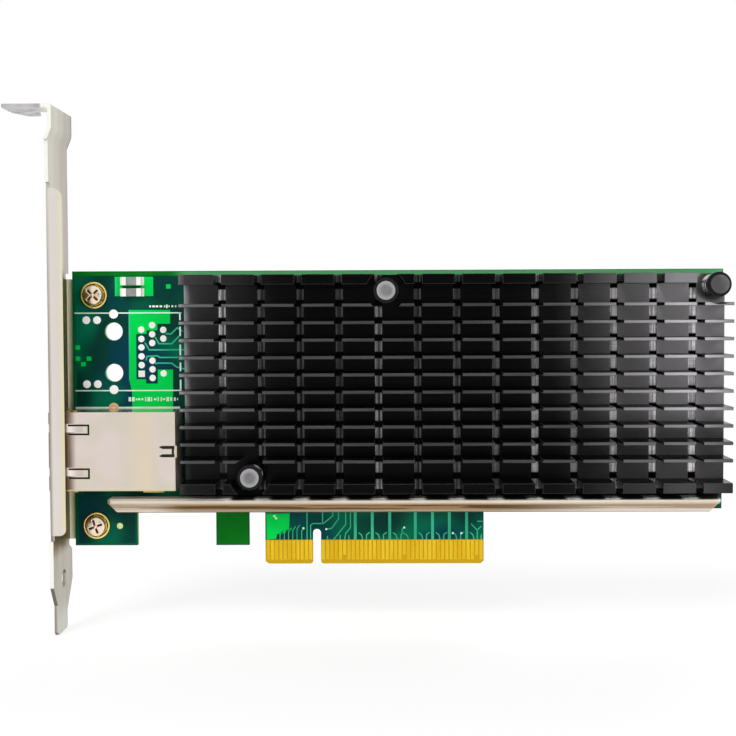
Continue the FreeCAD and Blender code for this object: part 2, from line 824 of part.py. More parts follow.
def make_jack_shield():
    shield = new_body("jack_shield")
    shell = new_sketch(shield, "ShellOutline", "XZ_Plane", above(d.jack_standoff))
    draw_rectangle(shell, jack_front, jack_low, -d.jack_back, jack_high)
    pad(shield, shell, d.jack_height - d.jack_standoff)
    hollow = new_sketch(shield, "ShellHollow", "XZ_Plane", above(d.jack_standoff))
    draw_rectangle(hollow, jack_front - CUT_MARGIN, jack_low + d.jack_sheet,
                   -d.jack_back - d.jack_sheet, jack_high - d.jack_sheet)
    pocket(shield, hollow, d.jack_height - d.jack_standoff - d.jack_sheet, backwards=True)

    finger_root = jack_front + d.spring_finger_setback
    finger_end = finger_root + d.spring_finger_length
    half_finger = d.spring_finger_width / 2
    slits = new_sketch(shield, "ShieldSlits", "XZ_Plane", above(d.jack_height))
    for side in (-1, 1):
        middle = d.jack_height_place + d.spring_finger_spread * side
        draw_outline(slits, [
            (finger_root, middle - half_finger),
            (finger_end, middle - half_finger),
            (finger_end, middle + half_finger),
            (finger_root, middle + half_finger),
            (finger_root, middle + half_finger + d.shield_slit),
            (finger_end + d.shield_slit, middle + half_finger + d.shield_slit),
            (finger_end + d.shield_slit, middle - half_finger - d.shield_slit),
            (finger_root, middle - half_finger - d.shield_slit),
        ])
    latch_left = -d.jack_back - d.shield_latch_length
    latch_window = latch_left + d.shield_latch_slit
    latch_low = d.jack_height_place - d.shield_latch_width / 2
    latch_high = latch_low + d.shield_latch_width
    draw_outline(slits, [
        (latch_left, latch_low - d.shield_slit / 2),
        (latch_window + d.shield_slit * 2, latch_low - d.shield_slit / 2),
        (latch_window + d.shield_slit * 2, latch_high + d.shield_slit / 2),
        (latch_left, latch_high + d.shield_slit / 2),
        (latch_left, latch_high - d.shield_slit / 2),
        (latch_window, latch_high - d.shield_slit / 2),
        (latch_window, latch_low + d.shield_slit / 2),
        (latch_left, latch_low + d.shield_slit / 2),
    ])
    pocket(shield, slits, d.jack_sheet)
    clip = new_sketch(shield, "RearClip", "YZ_Plane", -d.jack_back)
    draw_rectangle(clip, depth(d.jack_height), d.jack_height_place - d.shield_clip_width / 2,
                   depth(d.jack_height - d.shield_clip_height),
                   d.jack_height_place + d.shield_clip_width / 2)
    pad(shield, clip, d.shield_clip_thickness)

    posts = new_sketch(shield, "BoardPosts", "XZ_Plane", above(d.jack_standoff))
    for x, z in jack_post_places():
        draw_centred_rectangle(posts, x, z, d.post_width, d.jack_sheet)
    pad(shield, posts, d.jack_standoff + d.post_length, backwards=True)


def jack_core_outline(sketch, left, right):
    """The space inside the shield walls, seen from the component side."""
    margin = d.jack_sheet + d.jack_play
    draw_rectangle(sketch, left, jack_low + margin, right, jack_high - margin)


def make_jack_housing():
    housing = new_body("jack_housing")
    core_height = d.jack_height - d.jack_sheet - d.jack_play
    block = new_sketch(housing, "InsertBlock", "XZ_Plane", half_board)
    jack_core_outline(block, jack_front, jack_front + d.insert_length)
    pad(housing, block, core_height)

    middle = d.jack_height_place
    socket = new_sketch(housing, "PlugSocket", "YZ_Plane", jack_front)
    steps = (
        (d.plug_width / 2, d.plug_roof),
        (d.plug_width / 2, d.plug_floor),
        (d.latch_width / 2, d.plug_floor),
        (d.latch_width / 2, d.latch_floor),
        (d.latch_groove_width / 2, d.latch_floor),
        (d.latch_groove_width / 2, d.latch_groove_floor),
    )
    one_side = [(depth(level), middle + half_width) for half_width, level in steps]
    other_side = [(depth(level), middle - half_width) for half_width, level in reversed(steps)]
    draw_outline(socket, one_side + other_side)
    pocket(housing, socket, d.plug_depth, backwards=True)

    windows = new_sketch(housing, "LightWindows", "YZ_Plane", jack_front)
    for side in (-1, 1):
        centre = middle + jack_light_spread() * side
        draw_rectangle(windows, depth(d.light_bottom + d.light_height), centre - d.light_width / 2,
                       depth(d.light_bottom), centre + d.light_width / 2)
    pocket(housing, windows, d.light_depth, backwards=True)

    pegs = new_sketch(housing, "BoardPegs", "XZ_Plane", half_board)
    for x, z in jack_peg_places(middle):
        draw_circle(pegs, x, z, d.peg_radius)
    pad(housing, pegs, d.peg_length, backwards=True)


def jack_light_spread():
    return d.latch_width / 2 + d.light_inset + d.light_width / 2


def make_jack_light(name, side):
    light = new_body("jack_light_" + name)
    lens = new_sketch(light, "Lens" + name, "YZ_Plane", jack_front)
    centre = d.jack_height_place + jack_light_spread() * side
    draw_rectangle(lens, depth(d.light_bottom + d.light_height - d.light_play),
                   centre - d.light_width / 2 + d.light_play,
                   depth(d.light_bottom + d.light_play),
                   centre + d.light_width / 2 - d.light_play)
    pad(light, lens, d.light_depth)


def make_jack_wires():
    """The eight sprung contact wires, folded back from the front of the socket's roof."""
    wires = new_body("jack_contact_wires")
    roof = depth(d.plug_roof)
    rear = jack_front + d.plug_depth
    front = jack_front + d.wire_front
    tip = front + d.wire_run
    thickness = d.wire_thickness
    half_row = d.wire_pitch * (WIRE_COUNT - 1) / 2
    lowest = d.jack_height_place - half_row - d.wire_width / 2
    bend = new_sketch(wires, "WireBend", "XY_Plane", lowest)
    draw_outline(bend, [
        (rear, roof),
        (front, roof),
        (front, roof + thickness),
        (tip, roof + d.wire_drop + thickness),
        (tip, roof + d.wire_drop),
        (front + thickness * 4, roof + thickness),
        (rear, roof + thickness),
    ])
    wire = pad(wires, bend, d.wire_width)
    repeat(wires, wire, "Z_Axis", d.wire_pitch, WIRE_COUNT)


def make_jack_magnetics():
    magnetics = new_body("jack_magnetics")
    block = new_sketch(magnetics, "MagneticsBlock", "XZ_Plane", half_board)
    left = jack_front + d.insert_length + d.jack_play
    right = -d.jack_back - d.jack_sheet - d.jack_play
    jack_core_outline(block, left, right)
    pad(magnetics, block, d.jack_height - d.jack_sheet - d.jack_play)


def make_jack_pins():
    pins = new_body("jack_pins")
    sketch = new_sketch(pins, "PinField", "XZ_Plane", half_board)
    for x, z in jack_pin_places(d.jack_height_place) + jack_lead_places(d.jack_height_place):
        draw_centred_rectangle(sketch, x, z, d.pin_size, d.pin_size)
    pad(pins, sketch, d.pin_length, backwards=True)


def make_heatsink():
    """One extrusion: a base with edge ribs and thin fins, then cross-cut and bored."""
    sink = new_body("heatsink")
    left = -d.sink_left
    right = left + d.sink_length
    top = d.sink_bottom + d.sink_height
    base = new_sketch(sink, "SinkBase", "XZ_Plane", above(d.sink_underside))
    draw_rectangle(base, left, d.sink_bottom, right, top)
    pad(sink, base, d.sink_base)

    ribs = new_sketch(sink, "EdgeFins", "XZ_Plane", above(fin_floor))
    draw_rectangle(ribs, left, d.sink_bottom, right, d.sink_bottom + d.edge_fin)
    draw_rectangle(ribs, left, top - d.edge_fin, right, top)
    pad(sink, ribs, d.fin_height)
    first_fin = d.sink_bottom + d.edge_fin + d.first_fin_gap
    fins = new_sketch(sink, "ThinFin", "XZ_Plane", above(fin_floor))
    draw_rectangle(fins, left, first_fin, right, first_fin + d.thin_fin)
    fin = pad(sink, fins, d.fin_height)
    repeat(sink, fin, "Z_Axis", d.fin_pitch, THIN_FIN_COUNT)

    pedestal = new_sketch(sink, "Pedestal", "XZ_Plane", above(d.sink_underside))
    draw_centred_rectangle(pedestal, d.chip_place, d.chip_level, d.pedestal_size, d.pedestal_size)
    pad(sink, pedestal, d.pedestal_height, backwards=True)

    pockets = new_sketch(sink, "PushPinPockets", "XZ_Plane", above(fin_tip))
    for name, x, z in PUSH_PINS:
        draw_circle(pockets, x, z, d.pin_pocket_radius)
    pocket(sink, pockets, d.fin_height)
    bores = new_sketch(sink, "PushPinBores", "XZ_Plane", above(fin_floor))
    for name, x, z in PUSH_PINS:
        draw_circle(bores, x, z, d.stem_radius + d.stem_clearance)
    pocket(sink, bores, d.sink_base)

    cut = new_sketch(sink, "CrossCut", "XZ_Plane", above(fin_tip))
    cut_left = left + d.cross_cut_first
    draw_rectangle(cut, cut_left, d.sink_bottom - CUT_MARGIN,
                   cut_left + d.cross_cut_width, top + CUT_MARGIN)
    first_cut = pocket(sink, cut, d.fin_height + d.cross_cut_floor)
    repeat(sink, first_cut, "X_Axis", d.cross_cut_pitch, CROSS_CUT_COUNT)


def make_push_pin(name, x, z):
    """A moulded pin: knob, spring collar, stem, and a split barb behind the board."""
    pin = new_body("push_pin_" + name)
    collar_top = d.collar_level + d.collar_height
    barb_shoulder = -d.board_thickness - d.barb_play
    barb_end = barb_shoulder - d.barb_height - d.barb_tip_height
    profile = new_sketch(pin, "PinProfile" + name, "XY_Plane")
    draw_outline(profile, [
        (0, depth(collar_top + d.knob_height)),
        (d.knob_radius, depth(collar_top + d.knob_height)),
        (d.knob_radius, depth(collar_top)),
        (d.collar_radius, depth(collar_top)),
        (d.collar_radius, depth(d.collar_level)),
        (d.stem_radius, depth(d.collar_level)),
        (d.stem_radius, depth(barb_shoulder)),
        (d.barb_radius, depth(barb_shoulder)),
        (d.barb_tip_radius, depth(barb_end)),
        (0, depth(barb_end)),
    ])
    turned = pin.newObject("PartDesign::Revolution", "PinTurned" + name)
    turned.Profile = profile
    turned.ReferenceAxis = (profile, ["V_Axis"])
    turned.Angle = 360
    document.recompute()
    split = new_sketch(pin, "BarbSplit" + name, "XZ_Plane", above(barb_end))
    draw_centred_rectangle(split, 0, 0, d.barb_slot, d.barb_radius * 2 + CUT_MARGIN)
    pocket(pin, split, d.barb_height + d.barb_tip_height + d.barb_play, backwards=True)
    put_at(pin, x, 0, z)


def make_push_pin_spring(name, x, z):
    """A compression spring between the heatsink's base and the pin's collar.

    Its square wire is led round in short straight runs, which keeps its facets few.
    """
    clear = d.coil_wire / 2 + d.coil_play
    rise = (d.collar_level - fin_floor - clear * 2).value
    radius = d.coil_radius.value
    half_wire = d.coil_wire.value / 2
    run_count = int(d.coil_turns.value * COIL_RUNS_PER_TURN)
    points = []
    for number in range(run_count + 1):
        angle = 2 * math.pi * number / COIL_RUNS_PER_TURN
        climb = -rise * number / run_count
        points.append(FreeCAD.Vector(radius * math.cos(angle), climb, radius * math.sin(angle)))
    section = Part.makePolygon([
        FreeCAD.Vector(radius + side_x * half_wire, side_y * half_wire, 0)
        for side_x, side_y in ((1, 1), (-1, 1), (-1, -1), (1, -1), (1, 1))
    ])
    spring = document.addObject("Part::Feature", "PushPinSpring" + name)
    spring.Label = "push_pin_spring_" + name
    spring.Shape = Part.makePolygon(points).makePipeShell([section], True, False, 1)
    put_at(spring, x, depth(fin_floor + clear), z)
    subparts.append(spring)


def make_plate(label, level, centre_x, centre_z, width, height, thickness):
    """A flat rectangular part lying parallel to the board, standing on the given level."""
    plate = new_body(label)
    sketch = new_sketch(plate, label + "Outline", "XZ_Plane", above(level))
    draw_centred_rectangle(sketch, centre_x, centre_z, width, height)
    pad(plate, sketch, thickness)
    return plate


def make_chips(label, places, width, height, thickness, behind=False):
    """Several like chips soldered to one face of the board."""
    chips = new_body(label)
    level = -half_board if behind else half_board
    sketch = new_sketch(chips, label + "Outline", "XZ_Plane", level)
    for x, z in places:
        draw_centred_rectangle(sketch, x, z, width, height)
    pad(chips, sketch, thickness, backwards=behind)
    return chips


def make_controller():
    make_plate("controller_substrate", ORIGIN, d.chip_place, d.chip_level,
               d.substrate_size, d.substrate_size, d.substrate_height)
    make_plate("controller_lid", d.substrate_height, d.chip_place, d.chip_level,
               d.lid_size, d.lid_size, d.lid_height)
    lid_top = d.substrate_height + d.lid_height
    make_plate("thermal_compound", lid_top, d.chip_place, d.chip_level, d.compound_size,
               d.compound_size, d.sink_underside - d.pedestal_height - lid_top)


def make_stiffener_bar():
    bar = new_body("stiffener_bar")
    flange = new_sketch(bar, "BarFlange", "XZ_Plane", half_board)
    draw_outline(flange, [
        (-d.bar_left + d.bar_bevel, d.bar_bottom),
        (d.bar_right - d.bar_bevel, d.bar_bottom),
        (d.bar_right, d.bar_bottom + d.bar_bevel),
        (d.bar_right, d.bar_leg_bottom + d.bar_leg_thickness),
        (-d.bar_left, d.bar_leg_bottom + d.bar_leg_thickness),
        (-d.bar_left, d.bar_bottom + d.bar_bevel),
    ])
    pad(bar, flange, d.bar_flange_height)
    leg = new_sketch(bar, "BarLeg", "XZ_Plane", half_board)
    draw_rectangle(leg, -d.bar_left, d.bar_leg_bottom, d.bar_right, d.bar_leg_bottom + d.bar_leg_thickness)
    pad(bar, leg, d.bar_leg_height)
    leg_top = depth(d.bar_leg_height)
    fillet(bar, "LegEnds", d.bar_end_radius, [
        (-d.bar_left, leg_top, bar_tail_level),
        (d.bar_right, leg_top, bar_tail_level),
    ])
    middle = (d.bar_right - d.bar_left) / 2
    chamfer(bar, "LegNose", d.bar_leg_nose, [
        (middle, leg_top, d.bar_leg_bottom),
        (middle, leg_top, d.bar_leg_bottom + d.bar_leg_thickness),
    ])
    chamfer(bar, "LowerEdge", d.bar_lower_edge, [
        (middle, depth(d.bar_flange_height), d.bar_bottom),
    ])
    tails = new_sketch(bar, "BarTails", "XZ_Plane", half_board)
    for x, z in bar_tail_places():
        draw_centred_rectangle(tails, x, z, d.bar_tail_width, d.bar_tail_thickness)
    pad(bar, tails, d.bar_tail_length, backwards=True)


def make_power_stage():
    """Three output inductors under one gap pad, their regulators and bulk capacitors."""
    places = [d.inductor_place + d.inductor_pitch * number for number in range(3)]
    for number, x in enumerate(places, start=1):
        inductor = make_plate("power_inductor_%d" % number, ORIGIN, x, d.inductor_level,
                              d.inductor_size, d.inductor_size, d.inductor_height)
        half = d.inductor_size / 2
        chamfer(inductor, "InductorCorners%d" % number, d.inductor_corner, [
            (x + half * side_x, depth(d.inductor_height / 2), d.inductor_level + half * side_z)
            for side_x in (-1, 1)
            for side_z in (-1, 1)
        ])
    make_plate("gap_pad", d.inductor_height, places[1], d.inductor_level,
               d.inductor_pitch * 2 + d.inductor_size, d.inductor_size,
               d.sink_underside - d.inductor_height)
    make_chips("regulators", [(x, d.regulator_level) for x in places],
               d.regulator_size, d.regulator_size, d.regulator_height)
    make_chips("bulk_capacitors", [(x, d.bulk_level) for x in places],
               d.bulk_length, d.bulk_width, d.bulk_height)


def make_small_parts():
    """Chip capacitors and resistors, the firmware chip and the clock crystal."""
    make_chips("termination_capacitors", [
        (-d.termination_place, d.termination_level),
        (-d.termination_place, d.termination_level + d.termination_pitch),
    ], d.termination_length, d.termination_width, d.termination_height)

    row_reach = d.substrate_size / 2 + d.chip_part_gap
    columns = [d.chip_place + d.chip_part_pitch * number for number in range(-3, 4)]
    make_chips("chip_capacitors", [
        (x, d.chip_level + row_reach * side) for x in columns for side in (-1, 1)
    ], d.chip_part_width, d.chip_part_length, d.chip_part_height)
    levels = [d.chip_level + d.chip_part_pitch * number for number in range(-2, 3)]
    make_chips("chip_resistors", [
        (d.chip_place + row_reach * side, z) for z in levels for side in (-1, 1)
    ], d.chip_part_length, d.chip_part_width, d.chip_part_height / 2)
    grid = [d.chip_part_pitch * (number - 1.5) for number in range(4)]
    make_chips("back_capacitors", [
        (d.chip_place + x, d.chip_level + z) for x in grid for z in grid
    ], d.chip_part_length, d.chip_part_width, d.chip_part_height, behind=True)

    make_plate("flash_memory", ORIGIN, d.flash_place, d.flash_level,
               d.flash_width, d.flash_length, d.flash_height)
    lead_places = [
        (d.flash_place + (d.flash_width / 2 + d.flash_lead_reach / 2) * side,
         d.flash_level + d.flash_lead_pitch * (number - 1.5))
        for side in (-1, 1)
        for number in range(4)
    ]
    make_chips("flash_memory_leads", lead_places, d.flash_lead_reach,
               d.flash_lead_width, d.flash_lead_height)
    make_plate("clock_crystal", ORIGIN, d.crystal_place, d.crystal_level,
               d.crystal_width, d.crystal_length, d.crystal_height)


make_circuit_board()
# The contacts at the ends of the sockets' presence lines are shorter than the rest.
make_edge_contacts("edge_contacts_front", half_board, False, (16, 30, 47))
make_edge_contacts("edge_contacts_back", -half_board, True, (0,))
make_bracket()
for screw_name, screw_level in SCREWS:
    make_bracket_screw(screw_name, screw_level)
make_jack_shield()
make_jack_housing()
make_jack_light("upper", 1)
make_jack_light("lower", -1)
make_jack_wires()
make_jack_magnetics()
make_jack_pins()
make_heatsink()
for pin_name, pin_x, pin_z in PUSH_PINS:
    make_push_pin(pin_name, pin_x, pin_z)
    make_push_pin_spring(pin_name, pin_x, pin_z)
make_controller()
make_stiffener_bar()
make_power_stage()
make_small_parts()

# ---------------------------------------------------------------- check and export

document.recompute()
for item in document.Objects:
    if "Invalid" in item.State or "Error" in item.State:
        raise RuntimeError("%s did not recompute: %s" % (item.Label, item.State))
for subpart in subparts:
    if subpart.Shape.isNull() or not subpart.Shape.isValid():
        raise RuntimeError("%s has no valid shape" % subpart.Label)

os.makedirs("parts", exist_ok=True)
for subpart in subparts:
    subpart.Shape.exportStep("parts/%s.step" % subpart.Label)
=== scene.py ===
"""Looks of the network interface card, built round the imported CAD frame."""

import math
import random

import bmesh
import bpy
from mathutils import Matrix, Vector
from mathutils.geometry import tessellate_polygon


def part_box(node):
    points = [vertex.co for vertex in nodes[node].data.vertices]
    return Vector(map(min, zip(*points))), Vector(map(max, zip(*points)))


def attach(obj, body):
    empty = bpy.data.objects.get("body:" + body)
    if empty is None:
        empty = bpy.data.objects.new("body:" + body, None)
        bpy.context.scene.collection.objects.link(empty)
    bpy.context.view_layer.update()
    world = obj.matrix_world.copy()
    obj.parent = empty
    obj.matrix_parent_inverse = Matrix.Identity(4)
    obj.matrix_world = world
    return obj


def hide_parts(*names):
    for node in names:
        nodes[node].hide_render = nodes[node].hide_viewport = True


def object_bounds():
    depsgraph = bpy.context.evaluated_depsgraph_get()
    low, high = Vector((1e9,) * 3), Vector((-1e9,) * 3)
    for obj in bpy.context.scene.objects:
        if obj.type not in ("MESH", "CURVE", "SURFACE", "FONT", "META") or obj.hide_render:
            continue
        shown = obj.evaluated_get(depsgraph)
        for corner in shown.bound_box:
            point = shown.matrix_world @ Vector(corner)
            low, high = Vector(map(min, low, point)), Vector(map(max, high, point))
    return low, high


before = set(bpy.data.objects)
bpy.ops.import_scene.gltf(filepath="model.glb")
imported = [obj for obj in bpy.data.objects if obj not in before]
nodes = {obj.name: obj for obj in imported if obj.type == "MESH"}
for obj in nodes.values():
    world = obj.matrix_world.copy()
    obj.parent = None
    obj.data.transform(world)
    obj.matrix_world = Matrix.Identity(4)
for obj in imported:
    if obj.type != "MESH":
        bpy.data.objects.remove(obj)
cad_box = [list(corner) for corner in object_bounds()]

MM = 0.001
BOARD_LOW, BOARD_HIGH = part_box("circuit_board")
FRONT, BACK = BOARD_LOW.y / MM, BOARD_HIGH.y / MM

# Places in metres that the finishes follow: x of the tongue and of the bracket's plate, y of the
# shield's face, z of its spring fingers, then the bar, the push pins and the heatsink.
TONGUE_MIDDLE, TONGUE_REACH = 0.0135, 0.0262
PLATE = -0.0595
SHIELD_FRONT = -0.014
SHIELD_FINGERS = (0.03335, 0.02345)
BAR_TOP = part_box("stiffener_bar")[1].z
PIN_NAMES = ("one", "two", "three")
PIN_BOXES = [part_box("push_pin_" + which) for which in PIN_NAMES]
PIN_PLACES = [(low + high) / 2 * Vector((1, 0, 1)) for low, high in PIN_BOXES]
KNOB_TOP = PIN_BOXES[0][0].y
SINK_LEFT, FIN_FRONT, SINK_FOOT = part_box("heatsink")[0]
SINK_RIGHT, _, SINK_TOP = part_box("heatsink")[1]
RAIL_TOP, RAIL_FOOT = SINK_TOP - 0.003, SINK_FOOT + 0.0028
FIN_FLOOR = FIN_FRONT + 0.0088
FIN_ROOT, FIN_STEP = 0.0253, 0.003993
FIRST_CUT, CUT_PITCH = SINK_LEFT + 0.00875, 0.009

# Greys along the heatsink, from its left end at 0 to its right end at 1: the painted sheen of its
# faces, then the tones of the floors milled in its cross-cuts, partly painted sheen.
SHEEN = (
    (0.0, 0.3), (0.012, 0.09), (0.06, 0.05), (0.1, 0.036), (0.135, 0.014), (0.18, 0.004),
    (0.235, 0.0008), (0.6, 0.0006), (0.64, 0.004), (0.685, 0.014), (0.74, 0.075), (0.79, 0.19),
    (0.85, 0.28), (0.9, 0.48), (0.95, 0.5), (0.975, 0.36), (1.0, 0.22),
)
KERF_POLISH_AND_SHEEN = (
    (0.0, 0.68), (0.08, 0.68), (0.13, 0.11), (0.215, 0.07), (0.29, 0.085), (0.335, 0.09),
    (0.36, 0.27), (0.4, 0.1), (0.55, 0.11), (0.61, 0.13), (0.65, 0.3), (0.69, 0.16),
    (0.73, 0.17), (0.78, 0.34), (0.85, 0.52), (0.94, 0.68),
)


# ---------------------------------------------------------------- shader trees and node groups


def grey(level):
    return (level, level, level)


class Shading:
    """A shader tree, with the steps that its masks and tones are made of."""

    def __init__(self, tree):
        self.tree = tree

    def feed(self, socket, value):
        """Links another node's output or sets a value; a colour of three parts is opaque."""
        if isinstance(value, bpy.types.NodeSocket):
            self.tree.links.new(value, socket)
        elif socket.type == "RGBA" and len(value) == 3:
            socket.default_value = (*value, 1.0)
        else:
            socket.default_value = value

    def add(self, kind, settings=None, **values):
        """A node with its settings and its inputs, given by name or as i0, i1 and so on."""
        node = self.tree.nodes.new("ShaderNode" + kind)
        for key, value in (settings or {}).items():
            setattr(node, key, value)
        for key, value in values.items():
            numbered = key[0] == "i" and key[1:].isdigit()
            self.feed(node.inputs[int(key[1:]) if numbered else key.replace("_", " ")], value)
        return node

    def maths(self, operation, *values):
        inputs = {f"i{place}": value for place, value in enumerate(values)}
        return self.add("Math", {"operation": operation}, **inputs).outputs[0]

    def vector_maths(self, operation, *values, result="Value"):
        inputs = {f"i{place}": value for place, value in enumerate(values)}
        return self.add("VectorMath", {"operation": operation}, **inputs).outputs[result]

    def all_of(self, *masks):
        """Masks and shares multiplied together."""
        whole = masks[0]
        for mask in masks[1:]:
            whole = self.maths("MULTIPLY", whole, mask)
        return whole

    def ramp(self, value, low, high):
        """0 at low, 1 at high, smooth between and level beyond; low may be the higher one."""
        smooth = {"interpolation_type": "SMOOTHSTEP"}
        return self.add("MapRange", smooth, Value=value, From_Min=low, From_Max=high).outputs[0]

    def spread(self, value, low, high, first=0.0, last=1.0):
        """A value between low and high laid evenly over another range."""
        ends = {"From_Min": low, "From_Max": high, "To_Min": first, "To_Max": last}
        return self.add("MapRange", Value=value, **ends).outputs[0]

    def from_line(self, value, first, pitch):
        """The distance to the nearest of an even row of lines."""
        return self.maths("PINGPONG", self.maths("SUBTRACT", value, first), pitch / 2)

    def mix(self, mask, first, second, kind="MIX"):
        """The first colour where the mask is 0, the second where it is 1."""
        settings = {"data_type": "RGBA", "blend_type": kind}
        return self.add("Mix", settings, i0=mask, i6=first, i7=second).outputs[2]

    def layered(self, tone, *layers):
        """A tone with more colours laid over it in turn, as (mask, colour) pairs."""
        for mask, colour in layers:
            tone = self.mix(mask, tone, colour)
        return tone

    def greys(self, along, stops):
        """A grey that changes along a run, from (place from 0 to 1, level) rows."""
        node = self.add("ValToRGB", i0=along)
        marks = node.color_ramp.elements
        for row, (at, level) in enumerate(stops):
            mark = marks[0] if row == 0 else marks[-1] if row == len(stops) - 1 else marks.new(at)
            mark.position, mark.color = at, (level, 0.965 * level, level, 1.0)
        return node.outputs[0]

    def place(self):
        """Each point on the card, in metres."""
        return self.add("TexCoord").outputs["Object"]

    def place_axes(self):
        return self.add("SeparateXYZ", Vector=self.place()).outputs

    def facing_axes(self):
        """How far each point faces along x, y and z."""
        return self.add("SeparateXYZ", Vector=self.add("TexCoord").outputs["Normal"]).outputs

    def noise(self, scale, detail):
        return self.add("TexNoise", Vector=self.place(), Scale=scale, Detail=detail).outputs[0]


class Group(Shading):
    """A shader node group with named inputs, given with their defaults, and named outputs."""

    def __init__(self, name, inputs, outputs=("Mask",)):
        super().__init__(bpy.data.node_groups.new(name, "ShaderNodeTree"))
        new_socket = self.tree.interface.new_socket
        for label, start in inputs.items():
            kind = "NodeSocketVector" if isinstance(start, tuple) else "NodeSocketFloat"
            new_socket(label, in_out="INPUT", socket_type=kind).default_value = start
        for label in outputs:
            kind = "NodeSocketVector" if label == "Normal" else "NodeSocketFloat"
            new_socket(label, in_out="OUTPUT", socket_type=kind)
        self.given = self.tree.nodes.new("NodeGroupInput").outputs
        self.results = self.tree.nodes.new("NodeGroupOutput").inputs

    def gives(self, **values):
        for label, value in values.items():
            self.feed(self.results[label], value)
        return self.tree


def make_grain():
    """Fine grain and broad mottle from 0 to 1: noise that can be stretched along an axis."""
    inputs = {"Scale": 100.0, "Stretch": (1, 1, 1), "Detail": 3.0}
    group = Group("grain", inputs, ("Value", "Mottle"))
    scale, detail = group.given["Scale"], group.given["Detail"]
    place = group.vector_maths("MULTIPLY", group.place(), group.given["Stretch"], result="Vector")
    fine = group.add("TexNoise", Vector=place, Scale=scale, Detail=detail).outputs[0]
    broad_scale = group.all_of(scale, 0.11)
    broad = group.add("TexNoise", Vector=place, Scale=broad_scale, Detail=2.0).outputs[0]
    return group.gives(Value=group.ramp(fine, 0.3, 0.7), Mottle=group.ramp(broad, 0.35, 0.65))


def make_rounded_edges():
    """Where faces meet, as a mask, and the normal as if those edges were rounded."""
    group = Group("rounded_edges", {"Radius": 0.0002}, ("Mask", "Normal"))
    rounded = group.add("Bevel", {"samples": 6}, Radius=group.given["Radius"]).outputs[0]
    flat = group.add("NewGeometry").outputs["Normal"]
    turn = group.vector_maths("DOT_PRODUCT", rounded, flat)
    return group.gives(Mask=group.ramp(turn, 0.995, 0.8), Normal=rounded)


def make_specks():
    """Sparse specks in loose patches, as a mask."""
    group = Group("specks", {"Scale": 900.0, "Amount": 0.3})
    cells = group.add("TexVoronoi", Vector=group.place(), Scale=group.given["Scale"])
    dots = group.ramp(cells.outputs["Distance"], 0.16, 0.05)
    patches = group.ramp(group.noise(70.0, 2.0), 0.5, 0.62)
    return group.gives(Mask=group.all_of(dots, patches, group.given["Amount"]))


def make_crevices():
    """Crevices that light hardly reaches, as a mask for painted shade."""
    group = Group("crevices", {"Distance": 0.003})
    node = group.add("AmbientOcclusion", {"samples": 8}, Distance=group.given["Distance"])
    return group.gives(Mask=group.ramp(node.outputs["AO"], 0.72, 0.22))


def make_near_a_push_pin():
    """How near a point is to the axis of a push pin: 1 within Near, 0 beyond Far."""
    group = Group("near_a_push_pin", {"Near": 0.001, "Far": 0.002})
    level = group.vector_maths("MULTIPLY", group.place(), (1.0, 0.0, 1.0), result="Vector")
    reach = 1.0
    for pin in PIN_PLACES:
        reach = group.maths("MINIMUM", group.vector_maths("DISTANCE", level, pin), reach)
    return group.gives(Mask=group.ramp(reach, group.given["Far"], group.given["Near"]))


GRAIN = make_grain()
ROUNDED_EDGES = make_rounded_edges()
SPECKS = make_specks()
CREVICES = make_crevices()
NEAR_PIN = make_near_a_push_pin()


# ---------------------------------------------------------------- finishes

# A place that a finish names with two numbers is a stretch over which a mask sets in, in metres:
# from where it is 0 to where it is 1.


class Finish(Shading):
    """One material: a Principled BSDF whose colour, roughness and normal vary over the surface."""

    def __init__(self, name, **sockets):
        self.material = bpy.data.materials.new(name)
        self.material.use_nodes = True
        super().__init__(self.material.node_tree)
        self.shader = self.tree.nodes["Principled BSDF"]
        self.set(**sockets)

    def set(self, **sockets):
        for label, value in sockets.items():
            self.feed(self.shader.inputs[label.replace("_", " ")], value)

    def group(self, group, **values):
        return self.add("Group", {"node_tree": group}, **values).outputs

    def grain(self, scale, stretch=(1, 1, 1), detail=3.0):
        """Fine grain and broad mottle."""
        made = self.group(GRAIN, Scale=scale, Stretch=stretch, Detail=detail)
        return made["Value"], made["Mottle"]

    def mask(self, group, **values):
        return self.group(group, **values)["Mask"]

    def bump(self, height, strength, radius, depth=0.00002):
        """Bumps from a height, on a normal that rounds the edges; hands over those edges' mask."""
        edges = self.group(ROUNDED_EDGES, Radius=radius)
        bumps = {"Strength": strength, "Distance": depth, "Height": height}
        self.set(Normal=self.add("Bump", Normal=edges["Normal"], **bumps).outputs[0])
        return edges["Mask"]

    def done(self, tone, value, smooth, rough):
        """Takes the colour, and a value that spreads the roughness between two levels."""
        self.set(Base_Color=tone, Roughness=self.spread(value, 0.0, 1.0, smooth, rough))
        return self.material


def plated_metal(
    name, pale, deep, wear_and_highlight, scale, roughness, radius, stretch=(1, 1, 1), metallic=1.0, crevice_shade=None
):
    """Sheet or bar metal: two tones in soft patches, drawn grain, edges paler for wear and as
    painted highlight, painted shade in crevices.
    """
    finish = Finish(name, Metallic=metallic)
    grain, mottle = finish.grain(scale, stretch)
    edge = finish.bump(grain, 0.08, radius)
    specks = finish.mask(SPECKS, Scale=700.0, Amount=0.3)
    darker = [0.6 * part for part in deep]
    tone = finish.layered(finish.mix(mottle, pale, deep), (specks, darker), (edge, wear_and_highlight))
    # Painted shade in the crevices, where a tone for it is given.
    if crevice_shade:
        tone = finish.mix(finish.mask(CREVICES, Distance=0.0005), tone, crevice_shade)
    return finish.done(tone, grain, *roughness)


